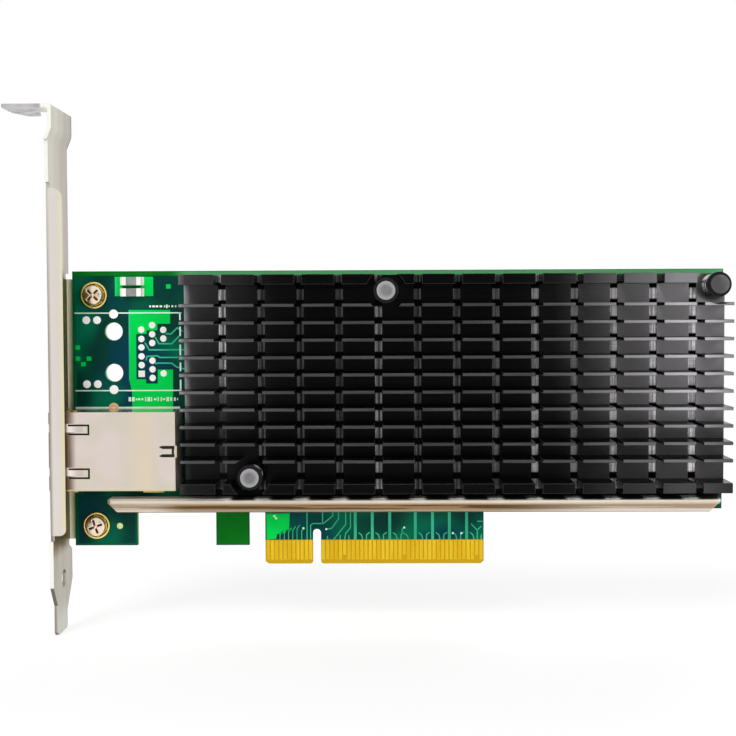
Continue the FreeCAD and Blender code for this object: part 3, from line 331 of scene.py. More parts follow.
def moulded(name, colour, other, scale, roughness, radius=0.0001, **sockets):
    """Moulded plastic, resin or ceramic: a fine grain, two close tones and paler edges as painted
    highlight.
    """
    finish = Finish(name, **sockets)
    grain, mottle = finish.grain(scale)
    edge = finish.all_of(finish.bump(grain, 0.25, radius, 0.00003), 0.35)
    paler = [min(1.0, 1.8 * part + 0.02) for part in colour]
    tone = finish.mix(edge, finish.mix(mottle, colour, other), paler)
    return finish.done(tone, grain, *roughness)


def coat_over_copper(name, colour, other, beyond=None):
    """Green mask on copper, brighter than on laminate; it may be paler past the jack, above."""
    finish = Finish(name, IOR=1.5, Specular_IOR_Level=0.04)
    grain, mottle = finish.grain(900.0)
    tone = finish.mix(mottle, colour, other)
    if beyond:
        x, _, z = finish.place_axes()
        jack_end, jack_top = (-0.034, -0.029), (0.05, 0.06)
        past = finish.all_of(finish.ramp(x, *jack_end), finish.ramp(z, *jack_top))
        tone = finish.mix(past, tone, beyond)
    finish.bump(grain, 0.15, 0.00003)
    return finish.done(tone, grain, 0.3, 0.42)


def board_finish():
    """Laminate under a dark green mask, bare at the contacts, with the weave at its cut edges and
    painted shadow along the heatsink's foot.
    """
    finish = Finish("board_laminate", IOR=1.5, Specular_IOR_Level=0.05)
    mix, ramp, all_of = finish.mix, finish.ramp, finish.all_of
    x, y, z = finish.place_axes()
    mask_foot = (0.00576, 0.0057)
    behind = ramp(y, -0.0001, 0.0001)
    dark = mix(behind, (0.001, 0.038, 0.026), (0.001, 0.075, 0.042))
    blue = mix(behind, (0.001, 0.038, 0.058), (0.001, 0.075, 0.058))
    clouds = ramp(finish.noise(75.0, 1.0), 0.42, 0.62)
    other_clouds = finish.add(
        "TexNoise", {"noise_dimensions": "4D"}, Vector=finish.place(), W=3.0, Scale=60.0, Detail=1.0
    ).outputs[0]
    on_tongue = finish.maths("COMPARE", x, TONGUE_MIDDLE, TONGUE_REACH)
    bare = all_of(ramp(z, *mask_foot), on_tongue)
    # Painted shadow of the heatsink on the board along its foot.
    sink_shadow = all_of(
        ramp(z, SINK_FOOT - 0.0035, SINK_FOOT - 0.0025),
        ramp(z, SINK_FOOT + 0.0035, SINK_FOOT + 0.0025),
        ramp(x, SINK_LEFT - 0.002, SINK_LEFT + 0.001), ramp(y, 0.0001, -0.0001),
    )
    face = finish.layered(
        dark, (clouds, (0.0, 0.125, 0.062)), (ramp(other_clouds, 0.48, 0.66), blue),
        (bare, (0.5, 0.3, 0.006)), (sink_shadow, (0.0008, 0.003, 0.0028)),
    )
    weave = finish.add(
        "TexWave", {"bands_direction": "Y"}, Vector=finish.place(), Scale=900.0, Distortion=2.0
    ).outputs[1]
    cut = mix(bare, mix(weave, (0.1, 0.3, 0.055), (0.2, 0.42, 0.1)), (0.66, 0.43, 0.02))
    side = ramp(finish.maths("ABSOLUTE", finish.facing_axes()[1]), 0.6, 0.4)
    grain, mottle = finish.grain(2500.0)
    finish.bump(grain, 0.12, 0.0001)
    return finish.done(mix(side, face, cut), mottle, 0.28, 0.42)


def heatsink_finish():
    """Black anodised extrusion, milled in its cross-cuts, with painted sheen growing towards its
    ends and painted highlight and shade on its fins.
    """
    finish = Finish("black_aluminium", IOR=1.5, Specular_IOR_Level=0.07)
    mix, ramp, all_of = finish.mix, finish.ramp, finish.all_of
    x, y, z = finish.place_axes()
    facing = ramp(finish.facing_axes()[1], -0.5, -0.8)
    streaks, mottle = finish.grain(1500.0, (0.04, 1, 1))
    milled, _ = finish.grain(2600.0, (1, 1, 0.03))
    edge = finish.bump(streaks, 0.15, 0.0003)
    along = finish.spread(x, SINK_LEFT, SINK_RIGHT)
    low_fins, kerf_foot = (0.03, 0.039), (0.054, 0.034)
    # Painted sheen along the heatsink, dimmer on its lower part.
    dimmed = mix(ramp(z, *low_fins), grey(0.25), grey(1.0))
    sheen = mix(1.0, finish.greys(along, SHEEN), dimmed, "MULTIPLY")

    front = all_of(facing, ramp(y, FIN_FRONT + 0.0003, FIN_FRONT + 0.0002))
    rail = finish.maths(
        "MAXIMUM", ramp(z, RAIL_TOP - 0.0001, RAIL_TOP + 0.0001),
        ramp(z, RAIL_FOOT + 0.0001, RAIL_FOOT - 0.0001),
    )
    # The black dye with paler edges as painted highlight; on the fin fronts a pale line, painted
    # highlight, with dark edges, painted shade; on the rails painted sheen with paler edges,
    # painted highlight.
    dye_and_edge_highlight = mix(mottle, (0.0006, 0.0006, 0.0007), (0.003, 0.003, 0.0032))
    dye_and_edge_highlight = mix(all_of(edge, 0.5), dye_and_edge_highlight, (0.05, 0.05, 0.053))
    fin_front_highlight = mix(streaks, (0.052, 0.05, 0.052), (0.03, 0.029, 0.03))
    fin_front_highlight = mix(1.0, mix(0.6, grey(0.0), sheen), fin_front_highlight, "ADD")
    fin_front_highlight = mix(all_of(edge, 0.8), fin_front_highlight, grey(0.002))
    broad = mix(all_of(edge, 0.7), mix(0.34, grey(0.0), sheen), (0.07, 0.068, 0.07))

    kerf = all_of(
        facing, ramp(y, FIN_FLOOR + 0.0001, FIN_FLOOR + 0.00022),
        ramp(y, FIN_FLOOR + 0.0005, FIN_FLOOR + 0.0004),
    )
    # The milled floors: tones that are partly painted sheen, darkened as painted shade beside the
    # fin rows and low on the left.
    polish_and_sheen = finish.greys(along, KERF_POLISH_AND_SHEEN)
    cut = mix(ramp(milled, 0.3, 0.6), mix(0.45, grey(0.0), polish_and_sheen), polish_and_sheen)
    beside = finish.from_line(z, FIN_ROOT, FIN_STEP)
    cut = mix(ramp(beside, 0.0006, 0.001), (0.0008, 0.0008, 0.0009), cut)
    centre = finish.from_line(x, FIRST_CUT + 0.00015, CUT_PITCH)
    split = all_of(ramp(centre, 0.00045, 0.0001), ramp(along, 0.6, 0.42), 0.72)
    faint = all_of(ramp(along, 0.12, 0.08), ramp(z, *kerf_foot), 0.9)
    cut = finish.layered(cut, (split, grey(0.003)), (faint, grey(0.006)))

    # Painted shadow round the push pins.
    shadow = all_of(finish.mask(NEAR_PIN, Near=0.003, Far=0.0047), 0.88)
    tone = finish.layered(
        dye_and_edge_highlight, (facing, sheen), (front, fin_front_highlight), (all_of(front, rail), broad),
        (kerf, cut), (shadow, grey(0.003)),
    )
    finish.set(Metallic=all_of(kerf, 0.92))
    return finish.done(tone, streaks, 0.2, 0.32)


def pin_finish():
    """Black nylon whose knob top is greyer than the collar, with a pale rim and a paler middle as
    painted highlight, and painted shade on the right-hand pin.
    """
    finish = Finish("pin_nylon", IOR=1.5, Specular_IOR_Level=0.2)
    mix, ramp = finish.mix, finish.ramp
    x, y, _ = finish.place_axes()
    right_pin, knob_side = (0.08, 0.085), (KNOB_TOP + 0.0009, KNOB_TOP + 0.0004)
    grain, mottle = finish.grain(2400.0)
    edge = finish.bump(grain, 0.3, 0.0003, 0.00003)
    core = mix(mottle, (0.085, 0.08, 0.085), (0.16, 0.155, 0.16))
    # Painted highlight: each knob's paler middle and pale rim, and the collar's paler edges;
    # painted shade over the right-hand pin.
    shaded = mix(1.0, core, grey(0.6), "MULTIPLY")
    knob = mix(finish.mask(NEAR_PIN, Near=0.0009, Far=0.0018), (0.25, 0.245, 0.25), core)
    knob = finish.layered(knob, (edge, grey(0.3)), (ramp(x, *right_pin), shaded))
    collar = mix(finish.all_of(edge, 0.5), (0.004, 0.004, 0.0045), (0.035, 0.035, 0.04))
    return finish.done(mix(ramp(y, *knob_side), collar, knob), grain, 0.3, 0.45)


def bar_finish():
    """Tinned copper bar, streaked: cream on its leg and browner on the flange, most between its
    ends, as painted shade; painted light on its top.
    """
    finish = Finish("tinned_bar")
    mix, ramp, all_of = finish.mix, finish.ramp, finish.all_of
    x, y, z = finish.place_axes()
    left_end, right_end = (-0.04, -0.03), (0.07, 0.04)
    leg_foot, flange_foot, flange_edge = (0.01535, 0.01455), (0.0133, 0.0128), (0.01258, 0.01248)
    # Upward faces take a pale tone: painted light.
    top = ramp(finish.facing_axes()[2], 0.4, 0.8)
    streaks, _ = finish.grain(520.0, (0.05, 1, 2.4), 4.0)
    edge = all_of(finish.bump(streaks, 0.1, 0.00018), 0.6)
    flange = ramp(y, FRONT * MM - 0.002, FRONT * MM - 0.0014)
    middle = all_of(ramp(x, *left_end), ramp(x, *right_end))
    # The leg darkens to its foot and the flange is browner, both painted shade; the flange's foot
    # is paler, painted highlight, above a dark line at its lower edge, painted shadow.
    under = mix(middle, (0.5, 0.38, 0.27), (0.4, 0.25, 0.13))
    leg = mix(streaks, (0.96, 0.88, 0.75), (0.8, 0.7, 0.56))
    leg = mix(ramp(z, *leg_foot), leg, under)
    brown = mix(middle, (0.66, 0.53, 0.4), (0.36, 0.22, 0.105))
    dark = mix(middle, (0.42, 0.31, 0.21), (0.1, 0.055, 0.02))
    foot = mix(middle, (0.8, 0.74, 0.66), (0.44, 0.34, 0.22))
    low = finish.layered(
        dark, (ramp(streaks, 0.44, 0.56), brown), (ramp(z, *flange_foot), foot),
        (ramp(z, *flange_edge), (0.12, 0.085, 0.035)),
    )
    # Painted shade in the crevices, browner on the flange.
    crevice_shade = mix(flange, (0.46, 0.36, 0.25), (0.12, 0.055, 0.02))
    # Painted shadow of the heatsink's fins on the bar's top, between the cross-cuts.
    fin_shadow = all_of(
        ramp(finish.from_line(x, FIRST_CUT, CUT_PITCH), 0.001, 0.0024),
        ramp(z, BAR_TOP - 0.00055, BAR_TOP - 0.0002), ramp(x, FIRST_CUT, FIRST_CUT + 0.002),
    )
    tone = finish.layered(
        leg, (flange, low), (edge, (0.98, 0.94, 0.84)),
        (finish.mask(CREVICES, Distance=0.0012), crevice_shade), (top, (0.99, 0.97, 0.9)),
        (fin_shadow, (0.02, 0.017, 0.014)),
    )
    finish.set(Metallic=finish.maths("SUBTRACT", 0.6, all_of(top, 0.6)))
    return finish.done(tone, streaks, 0.3, 0.42)


def bracket_finish():
    """Plated steel sheet: cream faces, pale cut edges, painted shade inside and in the channel
    beside the board, painted light and reflection on the far flange.
    """
    finish = Finish("bracket_steel")
    mix, ramp, all_of = finish.mix, finish.ramp, finish.all_of
    x, y, z = finish.place_axes()
    face_x, face_y, face_z = finish.facing_axes()
    channel_foot, channel_top = (0.003, 0.0062), (0.0677, 0.0668)
    flange_foot, flange_top, flange_edge = (0.0089, 0.0086), (0.0873, 0.0876), (-0.01495, -0.01515)
    tail_top, tail_foot, tab_foot = (0.0075, 0.0045), (-0.006, -0.013), (0.1, 0.101)
    grain, mottle = finish.grain(420.0, (1, 1, 0.12), 2.0)
    edge = all_of(finish.bump(grain, 0.05, 0.00014), 0.5)
    steel = mix(mottle, (0.74, 0.685, 0.635), (0.69, 0.635, 0.575))
    facing = ramp(face_y, -0.5, -0.8)
    # A dark band along the plate's bend, weaker higher up: painted shade.
    left = all_of(
        ramp(x, PLATE + 0.0012, PLATE + 0.0002), ramp(face_y, -0.1, -0.3),
        finish.spread(z, 0.085, 0.05, 0.35, 1.0),
    )
    # A yellower band along the flange's free edge: painted highlight.
    right = all_of(ramp(x, PLATE + 0.0026, PLATE + 0.0033), facing)
    warm = mix(ramp(z, 0.068, 0.05), (0.76, 0.71, 0.54), (0.75, 0.685, 0.46))
    # The plate's inner faces are darker than its front, more so towards the back and behind the
    # board: painted shade.
    inner = ramp(face_x, 0.5, 0.8)
    plate = mix(ramp(y, -0.015, 0.0035), (0.62, 0.6, 0.52), (0.44, 0.395, 0.34))
    tail = mix(ramp(z, *tail_foot), (0.44, 0.395, 0.325), (0.55, 0.56, 0.49))
    plate = finish.layered(
        plate, (ramp(z, *tail_top), tail), (ramp(y, 0.0022, 0.0034), (0.26, 0.25, 0.22))
    )
    # Painted shade in the channel beside the board, darker lower down.
    channel = all_of(inner, ramp(z, *channel_top), ramp(z, *channel_foot))
    painted_shade = mix(ramp(z, 0.045, 0.03), (0.115, 0.1, 0.006), (0.2, 0.13, 0.035))
    # The far flange seen past the board: painted light near the plate, then the board's green as
    # painted reflection.
    far = all_of(ramp(y, 0.0001, 0.0006), facing)
    strip = mix(ramp(x, PLATE + 0.0016, PLATE + 0.0026), (1.0, 1.0, 0.72), (0.22, 0.33, 0.08))
    cut = all_of(
        ramp(y, *flange_edge), ramp(face_y, -0.75, -0.9),
        finish.maths("MAXIMUM", ramp(z, *flange_top), ramp(z, *flange_foot)),
        ramp(x, PLATE - 0.0009, PLATE - 0.0003),
    )
    tab = all_of(ramp(x, PLATE - 0.0002, PLATE - 0.0008), ramp(z, *tab_foot))
    brushed = mix(grain, (0.56, 0.54, 0.55), (0.42, 0.41, 0.42))
    # Faces turned down near the tab: painted shade.
    under = all_of(ramp(face_z, -0.35, -0.6), ramp(z, *tab_foot[::-1]))
    # Paler edges for wear and as painted highlight.
    tone = finish.layered(
        steel, (left, (0.3, 0.28, 0.235)), (right, warm), (inner, plate), (channel, painted_shade),
        (far, strip), (cut, (0.94, 0.95, 0.86)), (tab, brushed), (under, (0.16, 0.15, 0.11)),
        (edge, (0.88, 0.86, 0.76)),
    )
    finish.set(Metallic=finish.maths("SUBTRACT", 0.85, all_of(far, 0.85)))
    return finish.done(tone, grain, 0.34, 0.46)


def shield_finish():
    """Tinned shield: soft golden patches, painted shade in brown stripes beside the bracket and in
    its slits, pale spring fingers as painted highlight.
    """
    finish = Finish("shield_metal", Metallic=0.85)
    mix, ramp, all_of = finish.mix, finish.ramp, finish.all_of
    x, y, z = finish.place_axes()
    golden_left, golden_right = (-0.0425, -0.039), (-0.0345, -0.0375)
    bracket_end, finger_root = (-0.0532, -0.0553), (-0.0519, -0.0521)
    rear_rim, lower_rim = (-0.0314, -0.0309), (0.0196, 0.0191)
    grain, _ = finish.grain(300.0, (0.25, 1, 1), 2.0)
    edge = all_of(finish.bump(grain, 0.05, 0.00014), 0.6)
    patches = finish.noise(120.0, 1.0)
    tin = mix(ramp(patches, 0.4, 0.64), (0.71, 0.62, 0.57), (0.67, 0.6, 0.51))
    golden = all_of(ramp(patches, 0.36, 0.56), ramp(x, *golden_left), ramp(x, *golden_right))
    front = ramp(y, SHIELD_FRONT + 0.0001, SHIELD_FRONT - 0.0001)
    # Brown drawn stripes beside the bracket: painted shade.
    beside = all_of(front, ramp(x, *bracket_end))
    drawn, _ = finish.grain(2600.0, (1, 1, 0.04))
    stripes = mix(drawn, (0.13, 0.075, 0.045), (0.26, 0.17, 0.11))
    # The spring fingers are pale, brightest near the bracket: painted highlight.
    near_finger = [finish.maths("COMPARE", z, middle, 0.00095) for middle in SHIELD_FINGERS]
    fingers = all_of(front, finish.maths("MAXIMUM", *near_finger), ramp(x, *finger_root))
    shine = mix(ramp(x, -0.0555, -0.0528), (0.95, 0.88, 0.8), (0.62, 0.52, 0.46))
    ends = finish.maths("MAXIMUM", ramp(x, *rear_rim), ramp(z, *lower_rim))
    # Paler edges for wear and as painted highlight, and painted shade in the slits and crevices.
    tone = finish.layered(
        tin, (golden, (0.72, 0.62, 0.48)), (beside, stripes), (fingers, shine),
        (all_of(front, ends), (0.66, 0.6, 0.3)), (edge, (0.9, 0.86, 0.72)),
        (finish.mask(CREVICES, Distance=0.0012), (0.06, 0.04, 0.015)),
    )
    polished = all_of(ramp(finish.facing_axes()[2], 0.8, 0.95), 0.28)
    rough = finish.spread(grain, 0.0, 1.0, 0.34, 0.46)
    finish.set(Base_Color=tone, Roughness=finish.maths("SUBTRACT", rough, polished))
    return finish.material


def plain_name(material):
    return material.name.split(".")[0]


MATERIALS = [
    board_finish(), bracket_finish(), shield_finish(), heatsink_finish(), pin_finish(),
    bar_finish(),
    # Metals: pale and deep tone, paler edge tone for wear and painted highlight, grain scale,
    # roughness from and to, edge radius.
    plated_metal(
        "gold_plate", (0.92, 0.6, 0.028), (0.8, 0.48, 0.012), (1.0, 0.8, 0.3),
        900.0, (0.24, 0.38), 0.00004, stretch=(4, 1, 0.3),
    ),
    # The zinc screws take painted shade in their crevices.
    plated_metal(
        "zinc_screw", (0.93, 0.76, 0.22), (0.8, 0.6, 0.1), (0.99, 0.92, 0.55),
        800.0, (0.14, 0.28), 0.00012, crevice_shade=(0.12, 0.06, 0.01),
    ),
    # The screws' painted shade: a dark brown for their grooves and recesses.
    plated_metal(
        "screw_shade", (0.16, 0.07, 0.012), (0.09, 0.03, 0.006), (0.5, 0.3, 0.08),
        900.0, (0.25, 0.4), 0.00008,
    ),
    plated_metal(
        "screw_crown", (0.96, 0.82, 0.68), (0.9, 0.7, 0.48), (1.0, 0.95, 0.86),
        700.0, (0.16, 0.3), 0.00015,
    ),
    plated_metal(
        "spring_wire", (0.62, 0.6, 0.58), (0.5, 0.48, 0.46), grey(0.85),
        1500.0, (0.2, 0.32), 0.00005,
    ),
    plated_metal(
        "chip_lid", (0.55, 0.54, 0.52), (0.48, 0.47, 0.46), grey(0.7), 600.0, (0.3, 0.45), 0.0001
    ),
    plated_metal(
        "solder_tin", (0.9, 0.89, 0.86), (0.8, 0.79, 0.76), (0.97, 0.97, 0.95),
        1200.0, (0.3, 0.45), 0.00005, metallic=0.45,
    ),
    # Paler than the solder: painted light that offsets the bracket's shadow on the pads beside it.
    plated_metal(
        "pale_tin", (0.99, 0.97, 0.95), (0.95, 0.92, 0.9), (1.0, 1.0, 0.98),
        1200.0, (0.3, 0.45), 0.00005, metallic=0.1,
    ),
    plated_metal(
        "crystal_can", (0.66, 0.65, 0.62), (0.58, 0.57, 0.54), (0.85, 0.85, 0.83),
        700.0, (0.18, 0.3), 0.0002, stretch=(1, 0.3, 1),
    ),
    plated_metal(
        "spring_brass", (0.6, 0.42, 0.12), (0.42, 0.26, 0.06), (0.8, 0.66, 0.3),
        900.0, (0.3, 0.45), 0.0001, metallic=0.8,
    ),
    plated_metal(
        "fiducial_gold", (0.72, 0.8, 0.38), (0.64, 0.72, 0.3), (0.9, 0.9, 0.6),
        900.0, (0.35, 0.5), 0.00004, metallic=0.4,
    ),
    plated_metal(
        "bare_copper", (0.84, 0.56, 0.3), (0.74, 0.46, 0.22), (0.95, 0.75, 0.5),
        900.0, (0.35, 0.5), 0.00004, metallic=0.5,
    ),
    # Mouldings: two close tones, grain scale, roughness from and to.
    moulded(
        "jack_plastic", (0.008, 0.008, 0.009), (0.014, 0.014, 0.015), 2600.0, (0.42, 0.6),
        Specular_IOR_Level=0.25,
    ),
    moulded(
        "light_lens", (0.75, 0.78, 0.72), (0.68, 0.72, 0.64), 2600.0, (0.15, 0.25),
        Transmission_Weight=0.5,
    ),
    moulded("chip_substrate", (0.02, 0.13, 0.05), (0.015, 0.1, 0.045), 1800.0, (0.35, 0.5)),
    moulded("thermal_material", (0.45, 0.47, 0.5), (0.38, 0.4, 0.44), 2000.0, (0.6, 0.8)),
    moulded("chip_ceramic", (0.33, 0.24, 0.16), (0.28, 0.2, 0.13), 3000.0, (0.35, 0.5)),
    moulded("pale_ceramic", (0.26, 0.27, 0.26), (0.17, 0.18, 0.17), 3000.0, (0.4, 0.55)),
    moulded("moulded_package", (0.018, 0.018, 0.019), (0.026, 0.026, 0.027), 3000.0, (0.45, 0.62)),
    # The latch's gaps: painted shade.
    moulded(
        "latch_gap", (0.012, 0.011, 0.009), (0.018, 0.016, 0.012), 2600.0, (0.6, 0.8),
        Specular_IOR_Level=0.1,
    ),
    moulded("board_ink", (0.7, 0.84, 0.72), (0.58, 0.74, 0.62), 3500.0, (0.5, 0.65), 0.00002),
    # Mask over copper: two close tones, and the tone past the jack.
    coat_over_copper("mask_over_copper_plane", (0.0, 0.58, 0.075), (0.0, 0.52, 0.062)),
    coat_over_copper(
        "mask_over_border_copper", (0.002, 0.15, 0.009), (0.002, 0.12, 0.008), (0.075, 0.29, 0.11)
    ),
    coat_over_copper("mask_over_dark_copper", (0.001, 0.1, 0.035), (0.001, 0.07, 0.03)),
    coat_over_copper("mask_over_traces", (0.05, 0.46, 0.26), (0.025, 0.36, 0.19)),
]
FINISHES = {plain_name(material): material for material in MATERIALS}

for node in nodes.values():
    for place, old in enumerate(list(node.data.materials)):
        node.data.materials[place] = FINISHES[plain_name(old)]


# ---------------------------------------------------------------- mesh helpers


def add_object(name, data):
    thing = bpy.data.objects.new(name, data)
    bpy.context.scene.collection.objects.link(thing)
    return thing


def finish_piece(name, mesh, slot, finish=None, smooth=False):
    """Turns a bmesh into a piece that rides on the card, in its slot's finish or another."""
    bmesh.ops.recalc_face_normals(mesh, faces=mesh.faces)
    data = bpy.data.meshes.new(name)
    mesh.to_mesh(data)
    mesh.free()
    for face in data.polygons:
        face.use_smooth = smooth
    data.materials.append(FINISHES[finish or slot])
    piece = add_object(name, data)
    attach(piece, "root")
    return piece


def off_board(face, rise):
    """The y in metres at a height in mm off a board face."""
    return (face + math.copysign(rise, face)) * MM


def rectangle(x0, z0, x1, z1):
    return [(x0, z0), (x1, z0), (x1, z1), (x0, z1)]


def circle(x, z, radius, count):
    angles = [2 * math.pi * i / count for i in range(count)]
    return [(x + radius * math.cos(angle), z + radius * math.sin(angle)) for angle in angles]


def skin(mesh, rings):
    """Bands of faces from each ring to the next; a ring of one corner is a point."""
    bands = []
    for a, b in zip(rings, rings[1:]):
        band = []
        for i in range(max(len(a), len(b))):
            j = i + 1
            corners = [a[i % len(a)], a[j % len(a)], b[j % len(b)], b[i % len(b)]]
            band.append(mesh.faces.new(list(dict.fromkeys(corners))))
        bands.append(band)
    return bands


def lay_on(mesh, outline, face, rise):
    """A closed slab on a board face, from (x, z) corners in mm and its height off the face."""
    top = [mesh.verts.new((x * MM, off_board(face, rise), z * MM)) for x, z in outline]
    bottom = [mesh.verts.new((x * MM, off_board(face, 0), z * MM)) for x, z in outline]
    for corners in tessellate_polygon([[Vector((x, z, 0)) for x, z in outline]]):
        for side in (top, bottom):
            mesh.faces.new([side[i] for i in corners])
    for i in range(len(top)):
        j = (i + 1) % len(top)
        mesh.faces.new((top[i], top[j], bottom[j], bottom[i]))


def track(mesh, points, width, face, rise=0.035):
    """A track of even width, mitred at its corners: a slab per run, so that none crosses itself."""
    path = [Vector(point) for point in points]
    sides = []
    for i, point in enumerate(path):
        before = (point - path[i - 1]).normalized() if i else None
        after = (path[i + 1] - point).normalized() if i + 1 < len(path) else None
        along = ((before or after) + (after or before)).normalized()
        stretch = 1.0 / max(0.5, along.dot(after or before))
        sides.append(Vector((-along.y, along.x)) * (width / 2 * stretch))
    left = [point + side for point, side in zip(path, sides)]
    right = [point - side for point, side in zip(path, sides)]
    for i in range(len(path) - 1):
        lay_on(mesh, [left[i], left[i + 1], right[i + 1], right[i]], face, rise)


def turned(mesh, x, z, face, profile, count=20):
    """A round form on a board face, from (radius, height) rows that end in a point."""
    rings = []
    for radius, height in profile:
        ring = circle(x, z, radius, count if radius else 1)
        y = off_board(face, height)
        rings.append([mesh.verts.new((across * MM, y, up * MM)) for across, up in ring])
    skin(mesh, rings)
    mesh.faces.new(rings[0][::-1])


def block(mesh, low, high, round_by):
    """A box between two corners in mm, its edges rounded."""
    made = bmesh.ops.create_cube(mesh, size=1.0)["verts"]
    for vert in made:
        spans = zip(low, high, vert.co)
        vert.co = [(a + b) / 2 * MM + share * ((b - a) * MM) for a, b, share in spans]
    edges = list({edge for vert in made for edge in vert.link_edges})
    bmesh.ops.bevel(
        mesh, geom=edges, offset=round_by * MM, segments=2, profile=0.5, affect="EDGES"
    )


def islands(name):
    """The boxes of a node's separate solids, in mm, in a steady order."""
    mesh = bmesh.new()
    mesh.from_mesh(nodes[name].data)
    bmesh.ops.remove_doubles(mesh, verts=mesh.verts, dist=1e-6)
    seen, boxes = set(), []
    for start in mesh.verts:
        if start in seen:
            continue
        seen.add(start)
        waiting, found = [start], []
        while waiting:
            vert = waiting.pop()
            found.append(vert.co / MM)
            others = {edge.other_vert(vert) for edge in vert.link_edges} - seen
            seen |= others
            waiting += others
        boxes.append(tuple([pick(axis) for axis in zip(*found)] for pick in (min, max)))
    mesh.free()
    return sorted(boxes)


# ---------------------------------------------------------------- printed and plated detail

UNUSED_PINS = [(-40.85, z) for z in (55.25, 53.06, 51.08, 48.99, 46.93)]
UNUSED_PINS += [(-38.3, z) for z in (56.29, 54.16, 52.11, 47.97, 45.94, 43.91)]
UNUSED_PINS += [(-35.7, z) for z in (55.17, 53.15, 44.99)]
LIGHT_PADS = [(-53.7, 57.5), (-51.2, 57.5), (-53.75, 42.5), (-51.2, 42.5)]
SHIELD_PADS = [(-47.3, 58.9), (-47.4, 41.2)]
FRONT_VIAS = [
    (-3.2, 8.45), (-10.0, 11.3), (-9.6, 10.8), (2.2, 8.2), (20.5, 8.55), (31.9, 7.2), (33.9, 7.2),
]
SQUARE_PADS = [(-55.8, 51.1), (-55.8, 48.5), (-53.2, 48.5), (-54.55, 47.2), (-34.4, 65.3)]
PLANE = [
    (-43.73, 59.86), (-34.05, 59.82), (-34.07, 56.6), (-37.07, 56.6), (-37.09, 55.06),
    (-39.6, 55.06), (-39.6, 54.24), (-42.05, 54.24), (-42.1, 43.6), (-39.86, 43.6),
    (-39.86, 42.59), (-37.1, 42.58), (-37.07, 45.86), (-33.5, 45.86), (-33.58, 37.1),
    (-43.15, 37.1), (-43.15, 40.74), (-43.8, 43.4),
]
CAP_PLANE = rectangle(-46.95, 63.08, -37.93, 67.58)
CONTACT_PLANE = [
    (-11.9, 11.9), (-6.4, 11.95), (-6.55, 8.2), (-8.05, 7.25), (-9.4, 7.05), (-9.6, 5.95),
    (-11.85, 5.8),
]
VIA = [(0.34, 0), (0.34, 0.05), (0.15, 0.055), (0, 0.03)]
SMALL_VIA = [(0.3, 0), (0.3, 0.045), (0.13, 0.05), (0, 0.03)]
CONTACT_TOP = 5.75


def make_planes():
    mesh = bmesh.new()
    for outline in (PLANE, CAP_PLANE, CONTACT_PLANE):
        lay_on(mesh, outline, FRONT, 0.035)
    for x, z in SQUARE_PADS:
        lay_on(mesh, rectangle(x - 0.55, z - 0.5, x + 0.55, z + 0.5), FRONT, 0.03)
    finish_piece("board_copper_planes", mesh, "board_laminate", "mask_over_copper_plane")


def make_borders():
    """Copper along the board's edges, just inside them."""
    mesh, dark = bmesh.new(), bmesh.new()
    left, right = BOARD_LOW.x / MM + 0.15, BOARD_HIGH.x / MM - 0.15
    top = BOARD_HIGH.z / MM - 0.12
    low, wide, thick = top - 0.95, 0.6, 0.025
    lay_on(dark, rectangle(-45.2, 64.85, -40.8, 65.4), FRONT, 0.05)
    for face in (FRONT, BACK):
        lay_on(mesh, rectangle(left, low, right, top), face, thick)
        lay_on(mesh, rectangle(-23.5, 4.65, -16.1, 12.6), face, thick)
        lay_on(dark, rectangle(left, 5.0, left + wide, low), face, thick)
        lay_on(dark, rectangle(left, 4.65, -42.35, 5.0), face, thick)
        lay_on(dark, rectangle(-55.95, 16.4, -54.85, 17.4), face, 0.03)
        lay_on(dark, rectangle(-42.75, 5.0, -42.35, 12.0), face, thick)
        lay_on(dark, rectangle(right - wide, 13.2, right, low), face, thick)
    finish_piece("board_copper_borders", mesh, "board_laminate", "mask_over_border_copper")
    finish_piece("board_copper_side_borders", dark, "board_laminate", "mask_over_dark_copper")


def contact_tracks(mesh, face):
    """Tracks that rise from the edge contacts under the mask."""
    low, top = CONTACT_TOP, 12.35
    runs = [
        [(-3.6, low), (-3.6, 7.8), (-2.85, 8.5)],
        [(-2.33, low), (-2.33, top)],
        [(-1.5, low), (-1.5, 9.1), (-0.9, 9.55), (1.5, 9.5), (3.76, 11.4), (3.77, top)],
        [(1.32, 9.5), (1.33, top)],
        [(2.45, low), (2.45, 6.6)],
        [(2.3, 8.2), (3.4, 8.35), (5.07, 10.6), (5.08, top)],
        [(3.9, low), (6.75, 9.3), (6.77, top)],
        [(5.45, low), (5.45, 6.85)],
        [(6.5, low), (6.74, 7.2), (7.87, 8.5), (7.89, top)],
        [(7.5, low), (7.5, 6.7)],
        [(20.56, 8.5), (20.0, 8.2), (20.0, 7.3), (21.1, 6.8), (21.6, low)],
        [(36.15, 9.42), (37.64, 7.9), (38.6, 8.85)],
        [(37.64, 7.9), (37.64, low)],
        [(37.64, 9.98), (38.9, 9.98)],
        [(38.55, low), (38.6, 6.9)],
    ]
    for run in runs:
        track(mesh, run, 0.26, face)
    for x in (-8.7, -7.7, -6.7, -5.7, -4.7):
        step = 0.35 * (x + 8.7)
        track(mesh, [(x, low), (x, 6.9 + step), (x + 0.7, 7.8 + step)], 0.2, face)
    for x in (9.0, 13.0, 17.1, 23.1, 27.15, 31.1, 35.15):
        track(mesh, [(x, low), (x, top)], 0.68, face)
        track(mesh, [(x + 0.75, 7.35), (x + 1.45, 6.85), (x + 1.75, low)], 0.28, face)
        if x < 35:
            track(mesh, [(x + 2.6, low), (x + 2.65, 6.9), (x + 3.4, 7.4)], 0.28, face)


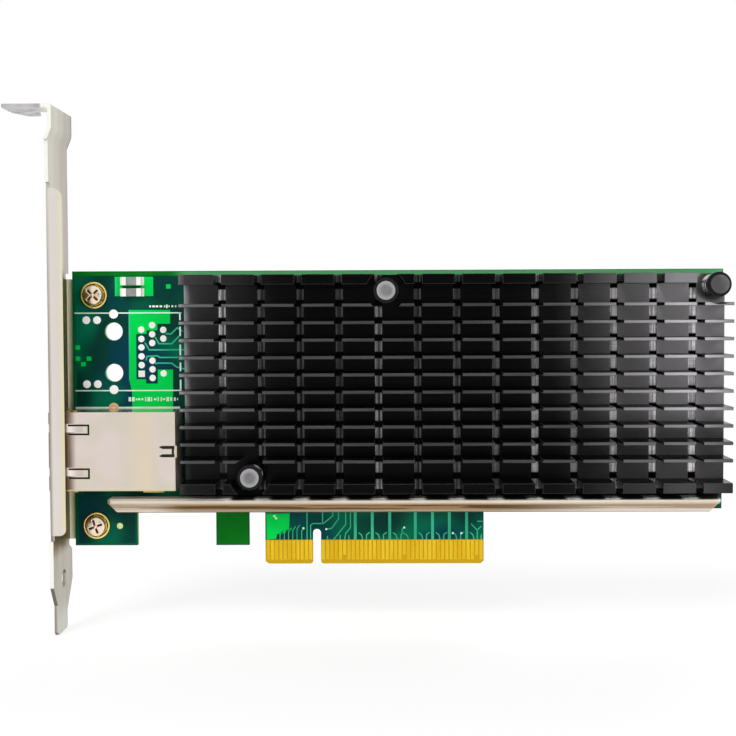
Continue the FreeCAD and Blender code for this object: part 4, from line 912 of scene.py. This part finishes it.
def make_tracks():
    mesh = bmesh.new()
    contact_tracks(mesh, FRONT)
    pin_runs = [
        [(-35.1, 54.25), (-33.9, 54.2), (-32.4, 55.65), (-31.2, 54.8)],
        [(-37.6, 53.5), (-36.75, 51.95), (-33.75, 51.9), (-32.0, 53.7)],
        [(-40.0, 52.2), (-39.05, 50.5), (-30.9, 50.5)],
        [(-39.8, 48.0), (-39.55, 48.98), (-37.15, 49.1), (-36.55, 48.72), (-32.3, 48.72)],
        [(-37.7, 47.2), (-37.15, 47.4), (-33.8, 47.36), (-32.6, 46.45), (-30.7, 45.95)],
    ]
    for run in pin_runs:
        track(mesh, run, 0.34, FRONT)
    for run in ([(-43.62, 59.7), (-43.7, 43.6)], [(-46.7, 67.5), (-46.7, 63.15)]):
        track(mesh, run, 0.3, FRONT, 0.06)
    finish_piece("board_tracks", mesh, "board_laminate", "mask_over_traces")


def make_ink():
    """The outlines of the jack places, and rows of small marks that spell nothing."""
    mesh = bmesh.new()
    for z, right in ((59.14, -31.4), (40.98, -31.5), (37.03, -32.0)):
        track(mesh, [(-56.45, z), (right, z)], 0.28, FRONT, 0.075)
    for low, high in ((57.4, 59.3), (53.7, 55.9), (49.2, 51.7), (45.5, 47.5), (41.2, 43.5)):
        track(mesh, [(-31.75, low), (-31.75, high)], 0.36, FRONT, 0.075)
    chance = random.Random(7)
    for left, right, z in ((-38.9, -32.6, 60.67), (-44.0, -32.6, 38.93)):
        x = left
        while x < right:
            wide = chance.choice((0.25, 0.4, 0.6))
            tall = chance.choice((0.45, 0.8, 1.0))
            lay_on(mesh, rectangle(x, z - tall / 2, x + wide, z + tall / 2), FRONT, 0.07)
            x += wide + chance.choice((0.2, 0.3, 0.45))
    finish_piece("board_ink_lines", mesh, "board_laminate", "board_ink")


def make_pads():
    tinned, pale, mark, ring = (bmesh.new() for _ in range(4))
    joint = [(0.76, 0), (0.76, 0.05), (0.6, 0.075), (0.3, 0.08), (0, 0.08)]
    light_pad = [(0.92, 0), (0.92, 0.05), (0.7, 0.08), (0.3, 0.07), (0, 0.06)]
    shield_pad = [(1.06, 0), (1.06, 0.08), (0.85, 0.11), (0.35, 0.1), (0, 0.1)]
    peg_ring = [(1.22, 0), (1.22, 0.09), (0.9, 0.14), (0.45, 0.08), (0, 0.07)]
    for x, z in UNUSED_PINS:
        turned(tinned, x, z, FRONT, joint)
    lay_on(tinned, rectangle(-41.6, 44.15, -40.1, 45.65), FRONT, 0.1)
    for x, z in FRONT_VIAS:
        turned(tinned, x, z, FRONT, [(0.24, 0), (0.24, 0.05), (0.12, 0.06), (0, 0.04)], 12)
    # The pads beside the bracket take the paler tin: painted light that offsets the shadow the
    # bracket casts on them.
    for x, z in LIGHT_PADS:
        turned(pale, x, z, FRONT, light_pad)
    for x, z in SHIELD_PADS:
        turned(pale, x, z, FRONT, shield_pad)
    turned(mark, -46.4, 9.06, FRONT, [(0.72, 0), (0.72, 0.04), (0, 0.045)])
    turned(ring, -47.5, 36.9, FRONT, peg_ring)
    finish_piece("board_tinned_pads", tinned, "solder_tin")
    finish_piece("board_shield_pads", pale, "solder_tin", "pale_tin")
    finish_piece("board_fiducial", mark, "gold_plate", "fiducial_gold")
    finish_piece("board_copper_ring", ring, "gold_plate", "bare_copper")


def make_back_detail():
    """The solder side: tracks that end in plated vias, single vias, and ink."""
    chance = random.Random(21)
    tracks, vias, ink = bmesh.new(), bmesh.new(), bmesh.new()
    contact_tracks(tracks, BACK)

    def track_to_via(run):
        track(tracks, run, 0.2, BACK)
        turned(vias, *run[-1], BACK, VIA, 10)

    for i in range(34):
        x = -9.0 + 0.95 * i
        z = 14.0 + chance.uniform(0, 3)
        bend = chance.uniform(3, 9)
        rise = chance.uniform(4, 12)
        turn = (x + (bend if i % 2 else -bend) * 0.5, z + bend * 0.5)
        track_to_via([(x, 12.4), (x, z), turn, (turn[0], turn[1] + rise)])
    for i in range(14):
        z = 41.5 + 1.05 * i
        out = -13.0 - chance.uniform(0, 4)
        end = -28.0 - chance.uniform(0, 4)
        drop = chance.uniform(-3, 3)
        track_to_via([(-6.0, z), (out, z), (out - abs(drop), z + drop), (end, z + drop)])
    for i in range(90):
        x, z = chance.uniform(-28, 92), chance.uniform(15, 66)
        turned(vias, x, z, BACK, SMALL_VIA, 10)
    for low, high in islands("back_capacitors"):
        for z in (low[2] - 0.3, high[2] + 0.3):
            track(ink, [(low[0] - 0.35, z), (high[0] + 0.35, z)], 0.14, BACK, 0.05)
    for z in (19.1, 36.9, 41.0, 59.1):
        track(ink, [(-56.4, z), (-31.2, z)], 0.25, BACK, 0.05)
    finish_piece("board_back_tracks", tracks, "board_laminate", "mask_over_traces")
    finish_piece("board_back_vias", vias, "solder_tin")
    finish_piece("board_back_ink", ink, "board_laminate", "board_ink")


make_planes()
make_borders()
make_tracks()
make_ink()
make_pads()
make_back_detail()


# ---------------------------------------------------------------- chip parts, springs and screws


def spanned(low, high, axis, ends):
    """A box's two corners with other ends along one axis."""
    low, high = list(low), list(high)
    low[axis], high[axis] = sorted(ends)
    return low, high


def chip_part(body, ends, low, high, face, reach):
    """One chip part in place of a plain block: body, wrapped ends and solder beyond both."""
    size = [b - a for a, b in zip(low, high)]
    axis = 0 if size[0] > size[2] else 2
    wrap, shrink = 0.24 * size[axis], 0.03
    core = [a + shrink for a in low], [b - shrink for b in high]
    core = spanned(*core, axis, (low[axis] + 0.6 * wrap, high[axis] - 0.6 * wrap))
    block(body, *core, 0.03)
    for end, inward in ((low[axis], 1), (high[axis], -1)):
        block(ends, *spanned(low, high, axis, (end, end + inward * wrap)), 0.06)
    climb = face + math.copysign(0.45 * 0.35 * size[1], face)
    for end, inward in ((low[axis], 1), (high[axis], -1)):
        pad = spanned(low, high, axis, (end + inward * 0.1, end - inward * reach))
        block(ends, *spanned(*pad, 1, (face, climb)), 0.05)


def dress_chips(name, piece, slot, finish=None, face=FRONT, reach=0.28):
    body, ends = bmesh.new(), bmesh.new()
    for low, high in islands(name):
        chip_part(body, ends, low, high, face, reach)
    made = finish_piece(piece, body, slot, finish)
    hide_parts(name)
    finish_piece(piece + "_ends", ends, "solder_tin")


dress_chips("chip_capacitors", "chip_capacitor_bodies", "chip_ceramic")
dress_chips("back_capacitors", "back_capacitor_bodies", "chip_ceramic", face=BACK)
dress_chips("chip_resistors", "chip_resistor_bodies", "moulded_package")
dress_chips(
    "termination_capacitors", "termination_capacitor_bodies", "chip_ceramic", "pale_ceramic",
    reach=0.5,
)


def wound_spring(node, piece):
    """A round-wire spring in place of the solid one, its end turns closed."""
    turns, steps, wire, sides = 5.5, 28, 0.22, 8
    low, high = (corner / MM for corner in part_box(node))
    centre_x, centre_z = (low.x + high.x) / 2, (low.z + high.z) / 2
    radius = (high.x - low.x) / 2 - wire
    start, span = low.y + wire, high.y - low.y - 2 * wire
    total = int(turns * steps)
    mesh, rings = bmesh.new(), []
    for i in range(total + 1):
        share = i / total
        angle = 2 * math.pi * turns * share
        eased = share * share * (3 - 2 * share)
        across, up = math.cos(angle), math.sin(angle)
        out = Vector((across, 0, up))
        middle = Vector((centre_x + radius * across, start + span * eased, centre_z + radius * up))
        ring = [middle + out * a + Vector((0, b, 0)) for a, b in circle(0, 0, wire, sides)]
        rings.append([mesh.verts.new(corner * MM) for corner in ring])
    skin(mesh, rings)
    mesh.faces.new(rings[0])
    mesh.faces.new(rings[-1][::-1])
    made = finish_piece(piece, mesh, "spring_wire", smooth=True)
    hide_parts(node)


for which in PIN_NAMES:
    wound_spring("push_pin_spring_" + which, "wound_spring_" + which)


def dress_shield():
    """The rear latch's tongue and gaps, and the brass ground springs beside the bracket."""
    low, high = (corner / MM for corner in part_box("jack_shield"))
    top, right, middle = low.y, high.x, (low.z + high.z) / 2
    above = top + 0.1
    gaps, tongue, springs = bmesh.new(), bmesh.new(), bmesh.new()
    # The gaps are dark slabs on the shield's face: painted shade for the latch's slots.
    for z in (middle - 0.95, middle + 0.95):
        block(gaps, (right - 3.4, top - 0.05, z - 0.33), (right - 0.5, above, z + 0.33), 0.01)
    block(gaps, (right - 1.1, top - 0.05, middle - 0.7), (right - 0.6, above, middle + 0.7), 0.01)
    block(tongue, (right - 3.2, top - 0.03, middle - 0.6), (right - 1.2, above, middle + 0.6), 0.02)
    finish_piece("shield_latch_gaps", gaps, "shield_metal", "latch_gap")
    finish_piece("shield_latch_tongue", tongue, "shield_metal")
    for edge, out in ((low.z, -1), (high.z, 1)):
        near, far = sorted((edge, edge + out * 0.35))
        for x in (-56.6, -55.2, -53.8):
            block(springs, (x - 0.5, top + 0.6, near), (x + 0.5, top + 3.0, far), 0.12)
    block(springs, (-38.6, top + 0.9, low.z - 0.45), (-33.9, top + 2.2, low.z), 0.12)
    finish_piece("shield_ground_springs", springs, "shield_metal", "spring_brass")


dress_shield()


def plain_dome(x, z, crown, top):
    """Height in mm of a screw's domed crown, which falls off near its rim."""
    away = math.hypot(x, z) / crown
    return top - 0.22 * away ** 2 - 8.0 * max(0.0, away - 0.85) ** 2


def dome_height(x, z, crown, turn, top):
    """Height in mm of the crown with its cross recess, which deepens from its middle."""
    u = abs(x * math.cos(turn) + z * math.sin(turn))
    v = abs(z * math.cos(turn) - x * math.sin(turn))
    narrow, long = min(u, v), max(u, v)
    in_slot = max(0.0, min(1.0, (0.22 + 0.04 * (1.5 - long) - narrow) / 0.08))
    before_end = max(0.0, min(1.0, (1.7 - long) / 0.2))
    depth = 0.5 * min(1.0, (long / 0.7) ** 2)
    return plain_dome(x, z, crown, top) - depth * (in_slot * before_end)


def bracket_screw(name, turn):
    """A flanged hexagon screw with a domed head, in place of the plainer solid one."""
    low, high = (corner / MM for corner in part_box(name))
    x, z, flange = (low.x + high.x) / 2, (low.z + high.z) / 2, (high.x - low.x) / 2
    tall, deep = FRONT - low.y, FRONT - high.y
    # Painted shade: the groove at the hexagon's foot, the groove round the crown and the deep parts
    # of the cross recess take the dark brown finish.
    zinc, painted_shade, crown = 0, 1, 2
    rim, steps, count = 2.25, 30, 72
    mesh, rings, parts = bmesh.new(), [], []

    def hexagon(angle):
        """The share of a round reach that a rounded hexagon has."""
        past_corner = (angle + turn) % (math.pi / 3) - math.pi / 6
        return max(0.9, math.cos(math.pi / 6) / math.cos(past_corner))

    def add_ring(part, radius, height=None, six_sided=False):
        """A ring round the screw's axis; without a height it lies on the crown."""
        ring = []
        for i in range(count if radius else 1):
            angle = 2 * math.pi * i / count
            reach = radius * hexagon(angle) if six_sided else radius
            dx, dz = reach * math.cos(angle), reach * math.sin(angle)
            rise = dome_height(dx, dz, rim, turn, tall) if height is None else height
            ring.append(mesh.verts.new(((x + dx) * MM, (FRONT - rise) * MM, (z + dz) * MM)))
        rings.append(ring)
        parts.append(part)

    for radius, height in (
        (0.0, deep), (1.2, deep), (1.48, deep + 0.3), (1.48, 0.0), (flange, 0.0), (flange, 0.42),
        (flange - 0.14, 0.56), (2.72, 0.52),
    ):
        add_ring(zinc, radius, height)
    add_ring(painted_shade, 2.66, 0.4, six_sided=True)
    add_ring(zinc, 2.6, 1.05, six_sided=True)
    add_ring(zinc, 2.48, 1.26, six_sided=True)
    add_ring(zinc, 2.34, 1.28)
    add_ring(painted_shade, 2.26, 1.1)
    for step in range(steps + 1):
        add_ring(crown, rim * (1 - step / steps))
    for part, band in zip(parts[1:], skin(mesh, rings)):
        for face in band:
            spot = face.calc_center_median() / MM - Vector((x, 0.0, z))
            sunk = plain_dome(spot.x, spot.z, rim, tall) - (FRONT - spot.y)
            face.material_index = painted_shade if part == crown and sunk > 0.25 else part
    made = finish_piece(name + "_detailed", mesh, "zinc_screw", smooth=True)
    made.data.materials.append(FINISHES["screw_shade"])
    made.data.materials.append(FINISHES["screw_crown"])
    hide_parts(name)


bracket_screw("bracket_screw_upper", math.radians(45))
bracket_screw("bracket_screw_lower", math.radians(20))


# ---------------------------------------------------------------- floor, light and camera


def seen_rays(shading):
    """1 for what the camera sees by itself, in a reflection or through glass."""
    rays = shading.add("LightPath").outputs
    seen = shading.maths("MAXIMUM", rays["Is Camera Ray"], rays["Is Glossy Ray"])
    return shading.maths("MAXIMUM", seen, rays["Is Transmission Ray"])


def make_floor():
    """A pale floor that stays white to the camera and in reflections, and keeps the shadow."""
    half, level = 3.0, cad_box[0][2]
    corners = [(x * half, z * half, level) for x, z in ((-1, -1), (1, -1), (1, 1), (-1, 1))]
    data = bpy.data.meshes.new("floor")
    data.from_pydata(corners, [], [(0, 1, 2, 3)])
    floor = add_object("floor", data)
    finish = Finish("pale_floor", Base_Color=grey(0.9), Roughness=0.9, Specular_IOR_Level=0.0)
    glow = finish.add("Emission", Color=(1, 1, 1), Strength=1.0).outputs[0]
    away = finish.ramp(finish.vector_maths("LENGTH", finish.place()), 0.14, 0.34)
    share = finish.maths("ADD", 0.7, finish.all_of(away, 0.3))
    seen = finish.all_of(seen_rays(finish), share)
    mixed = finish.add("MixShader", i0=seen, i1=finish.shader.outputs[0], i2=glow)
    finish.feed(finish.tree.nodes["Material Output"].inputs[0], mixed.outputs[0])
    data.materials.append(finish.material)


def make_world():
    """Even light, and a white backdrop with a darker patch before the card in reflections."""
    world = bpy.data.worlds.new("studio")
    bpy.context.scene.world = world
    world.use_nodes = True
    shading = Shading(world.node_tree)
    ambient = shading.tree.nodes["Background"]
    shading.feed(ambient.inputs["Color"], (1, 1, 1))
    shading.feed(ambient.inputs["Strength"], 0.5)
    ahead = Vector((0.01, -1.0, -0.05)).normalized()
    direction = shading.add("TexCoord").outputs["Generated"]
    toward = shading.vector_maths("DOT_PRODUCT", direction, ahead)
    patch = shading.ramp(toward, math.cos(math.radians(12)), math.cos(math.radians(4)))
    reflected = shading.add("LightPath").outputs["Is Glossy Ray"]
    unlit = shading.all_of(patch, 0.95, reflected)
    strength = shading.maths("SUBTRACT", 1.0, unlit)
    backdrop = shading.add("Background", Color=(1, 1, 1), Strength=strength)
    lights = {"i1": ambient.outputs[0], "i2": backdrop.outputs[0]}
    mixed = shading.add("MixShader", i0=seen_rays(shading), **lights)
    shading.feed(shading.tree.nodes["World Output"].inputs[0], mixed.outputs[0])


def make_lamp(name, place, size, power):
    """A soft area lamp aimed at the card's middle."""
    lamp = bpy.data.lights.new(name, "AREA")
    lamp.shape, lamp.size, lamp.energy = "SQUARE", size, power
    holder = add_object(name, lamp)
    middle = (Vector(cad_box[0]) + Vector(cad_box[1])) / 2
    holder.location = middle + Vector(place)
    holder.rotation_mode = "QUATERNION"
    holder.rotation_quaternion = (middle - holder.location).to_track_quat("-Z", "Y")
    holder.visible_glossy = False


def make_camera():
    """Straight on to the component side, a little from above."""
    data = bpy.data.cameras.new("camera")
    data.sensor_width, data.lens = 36.0, 67.134
    data.clip_start, data.clip_end = 0.01, 10.0
    camera = add_object("camera", data)
    place = Matrix.Translation((0.01603, -0.32125, 0.06031))
    yaw, pitch, roll = 0.0121, -0.0444, -0.0041
    turn = Matrix.Rotation(math.pi / 2, 4, "X") @ Matrix.Rotation(yaw, 4, "Y")
    turn = turn @ Matrix.Rotation(pitch, 4, "X") @ Matrix.Rotation(roll, 4, "Z")
    camera.matrix_world = place @ turn
    bpy.context.scene.camera = camera


make_floor()
make_world()
make_lamp("key", (-0.35, -0.75, 0.75), 0.6, 9.0)
make_lamp("fill", (0.7, -0.7, 0.3), 0.7, 4.0)
make_lamp("rear", (0.2, 0.8, 0.6), 0.7, 6.0)
make_camera()

bpy.context.scene.view_settings.view_transform = "Standard"
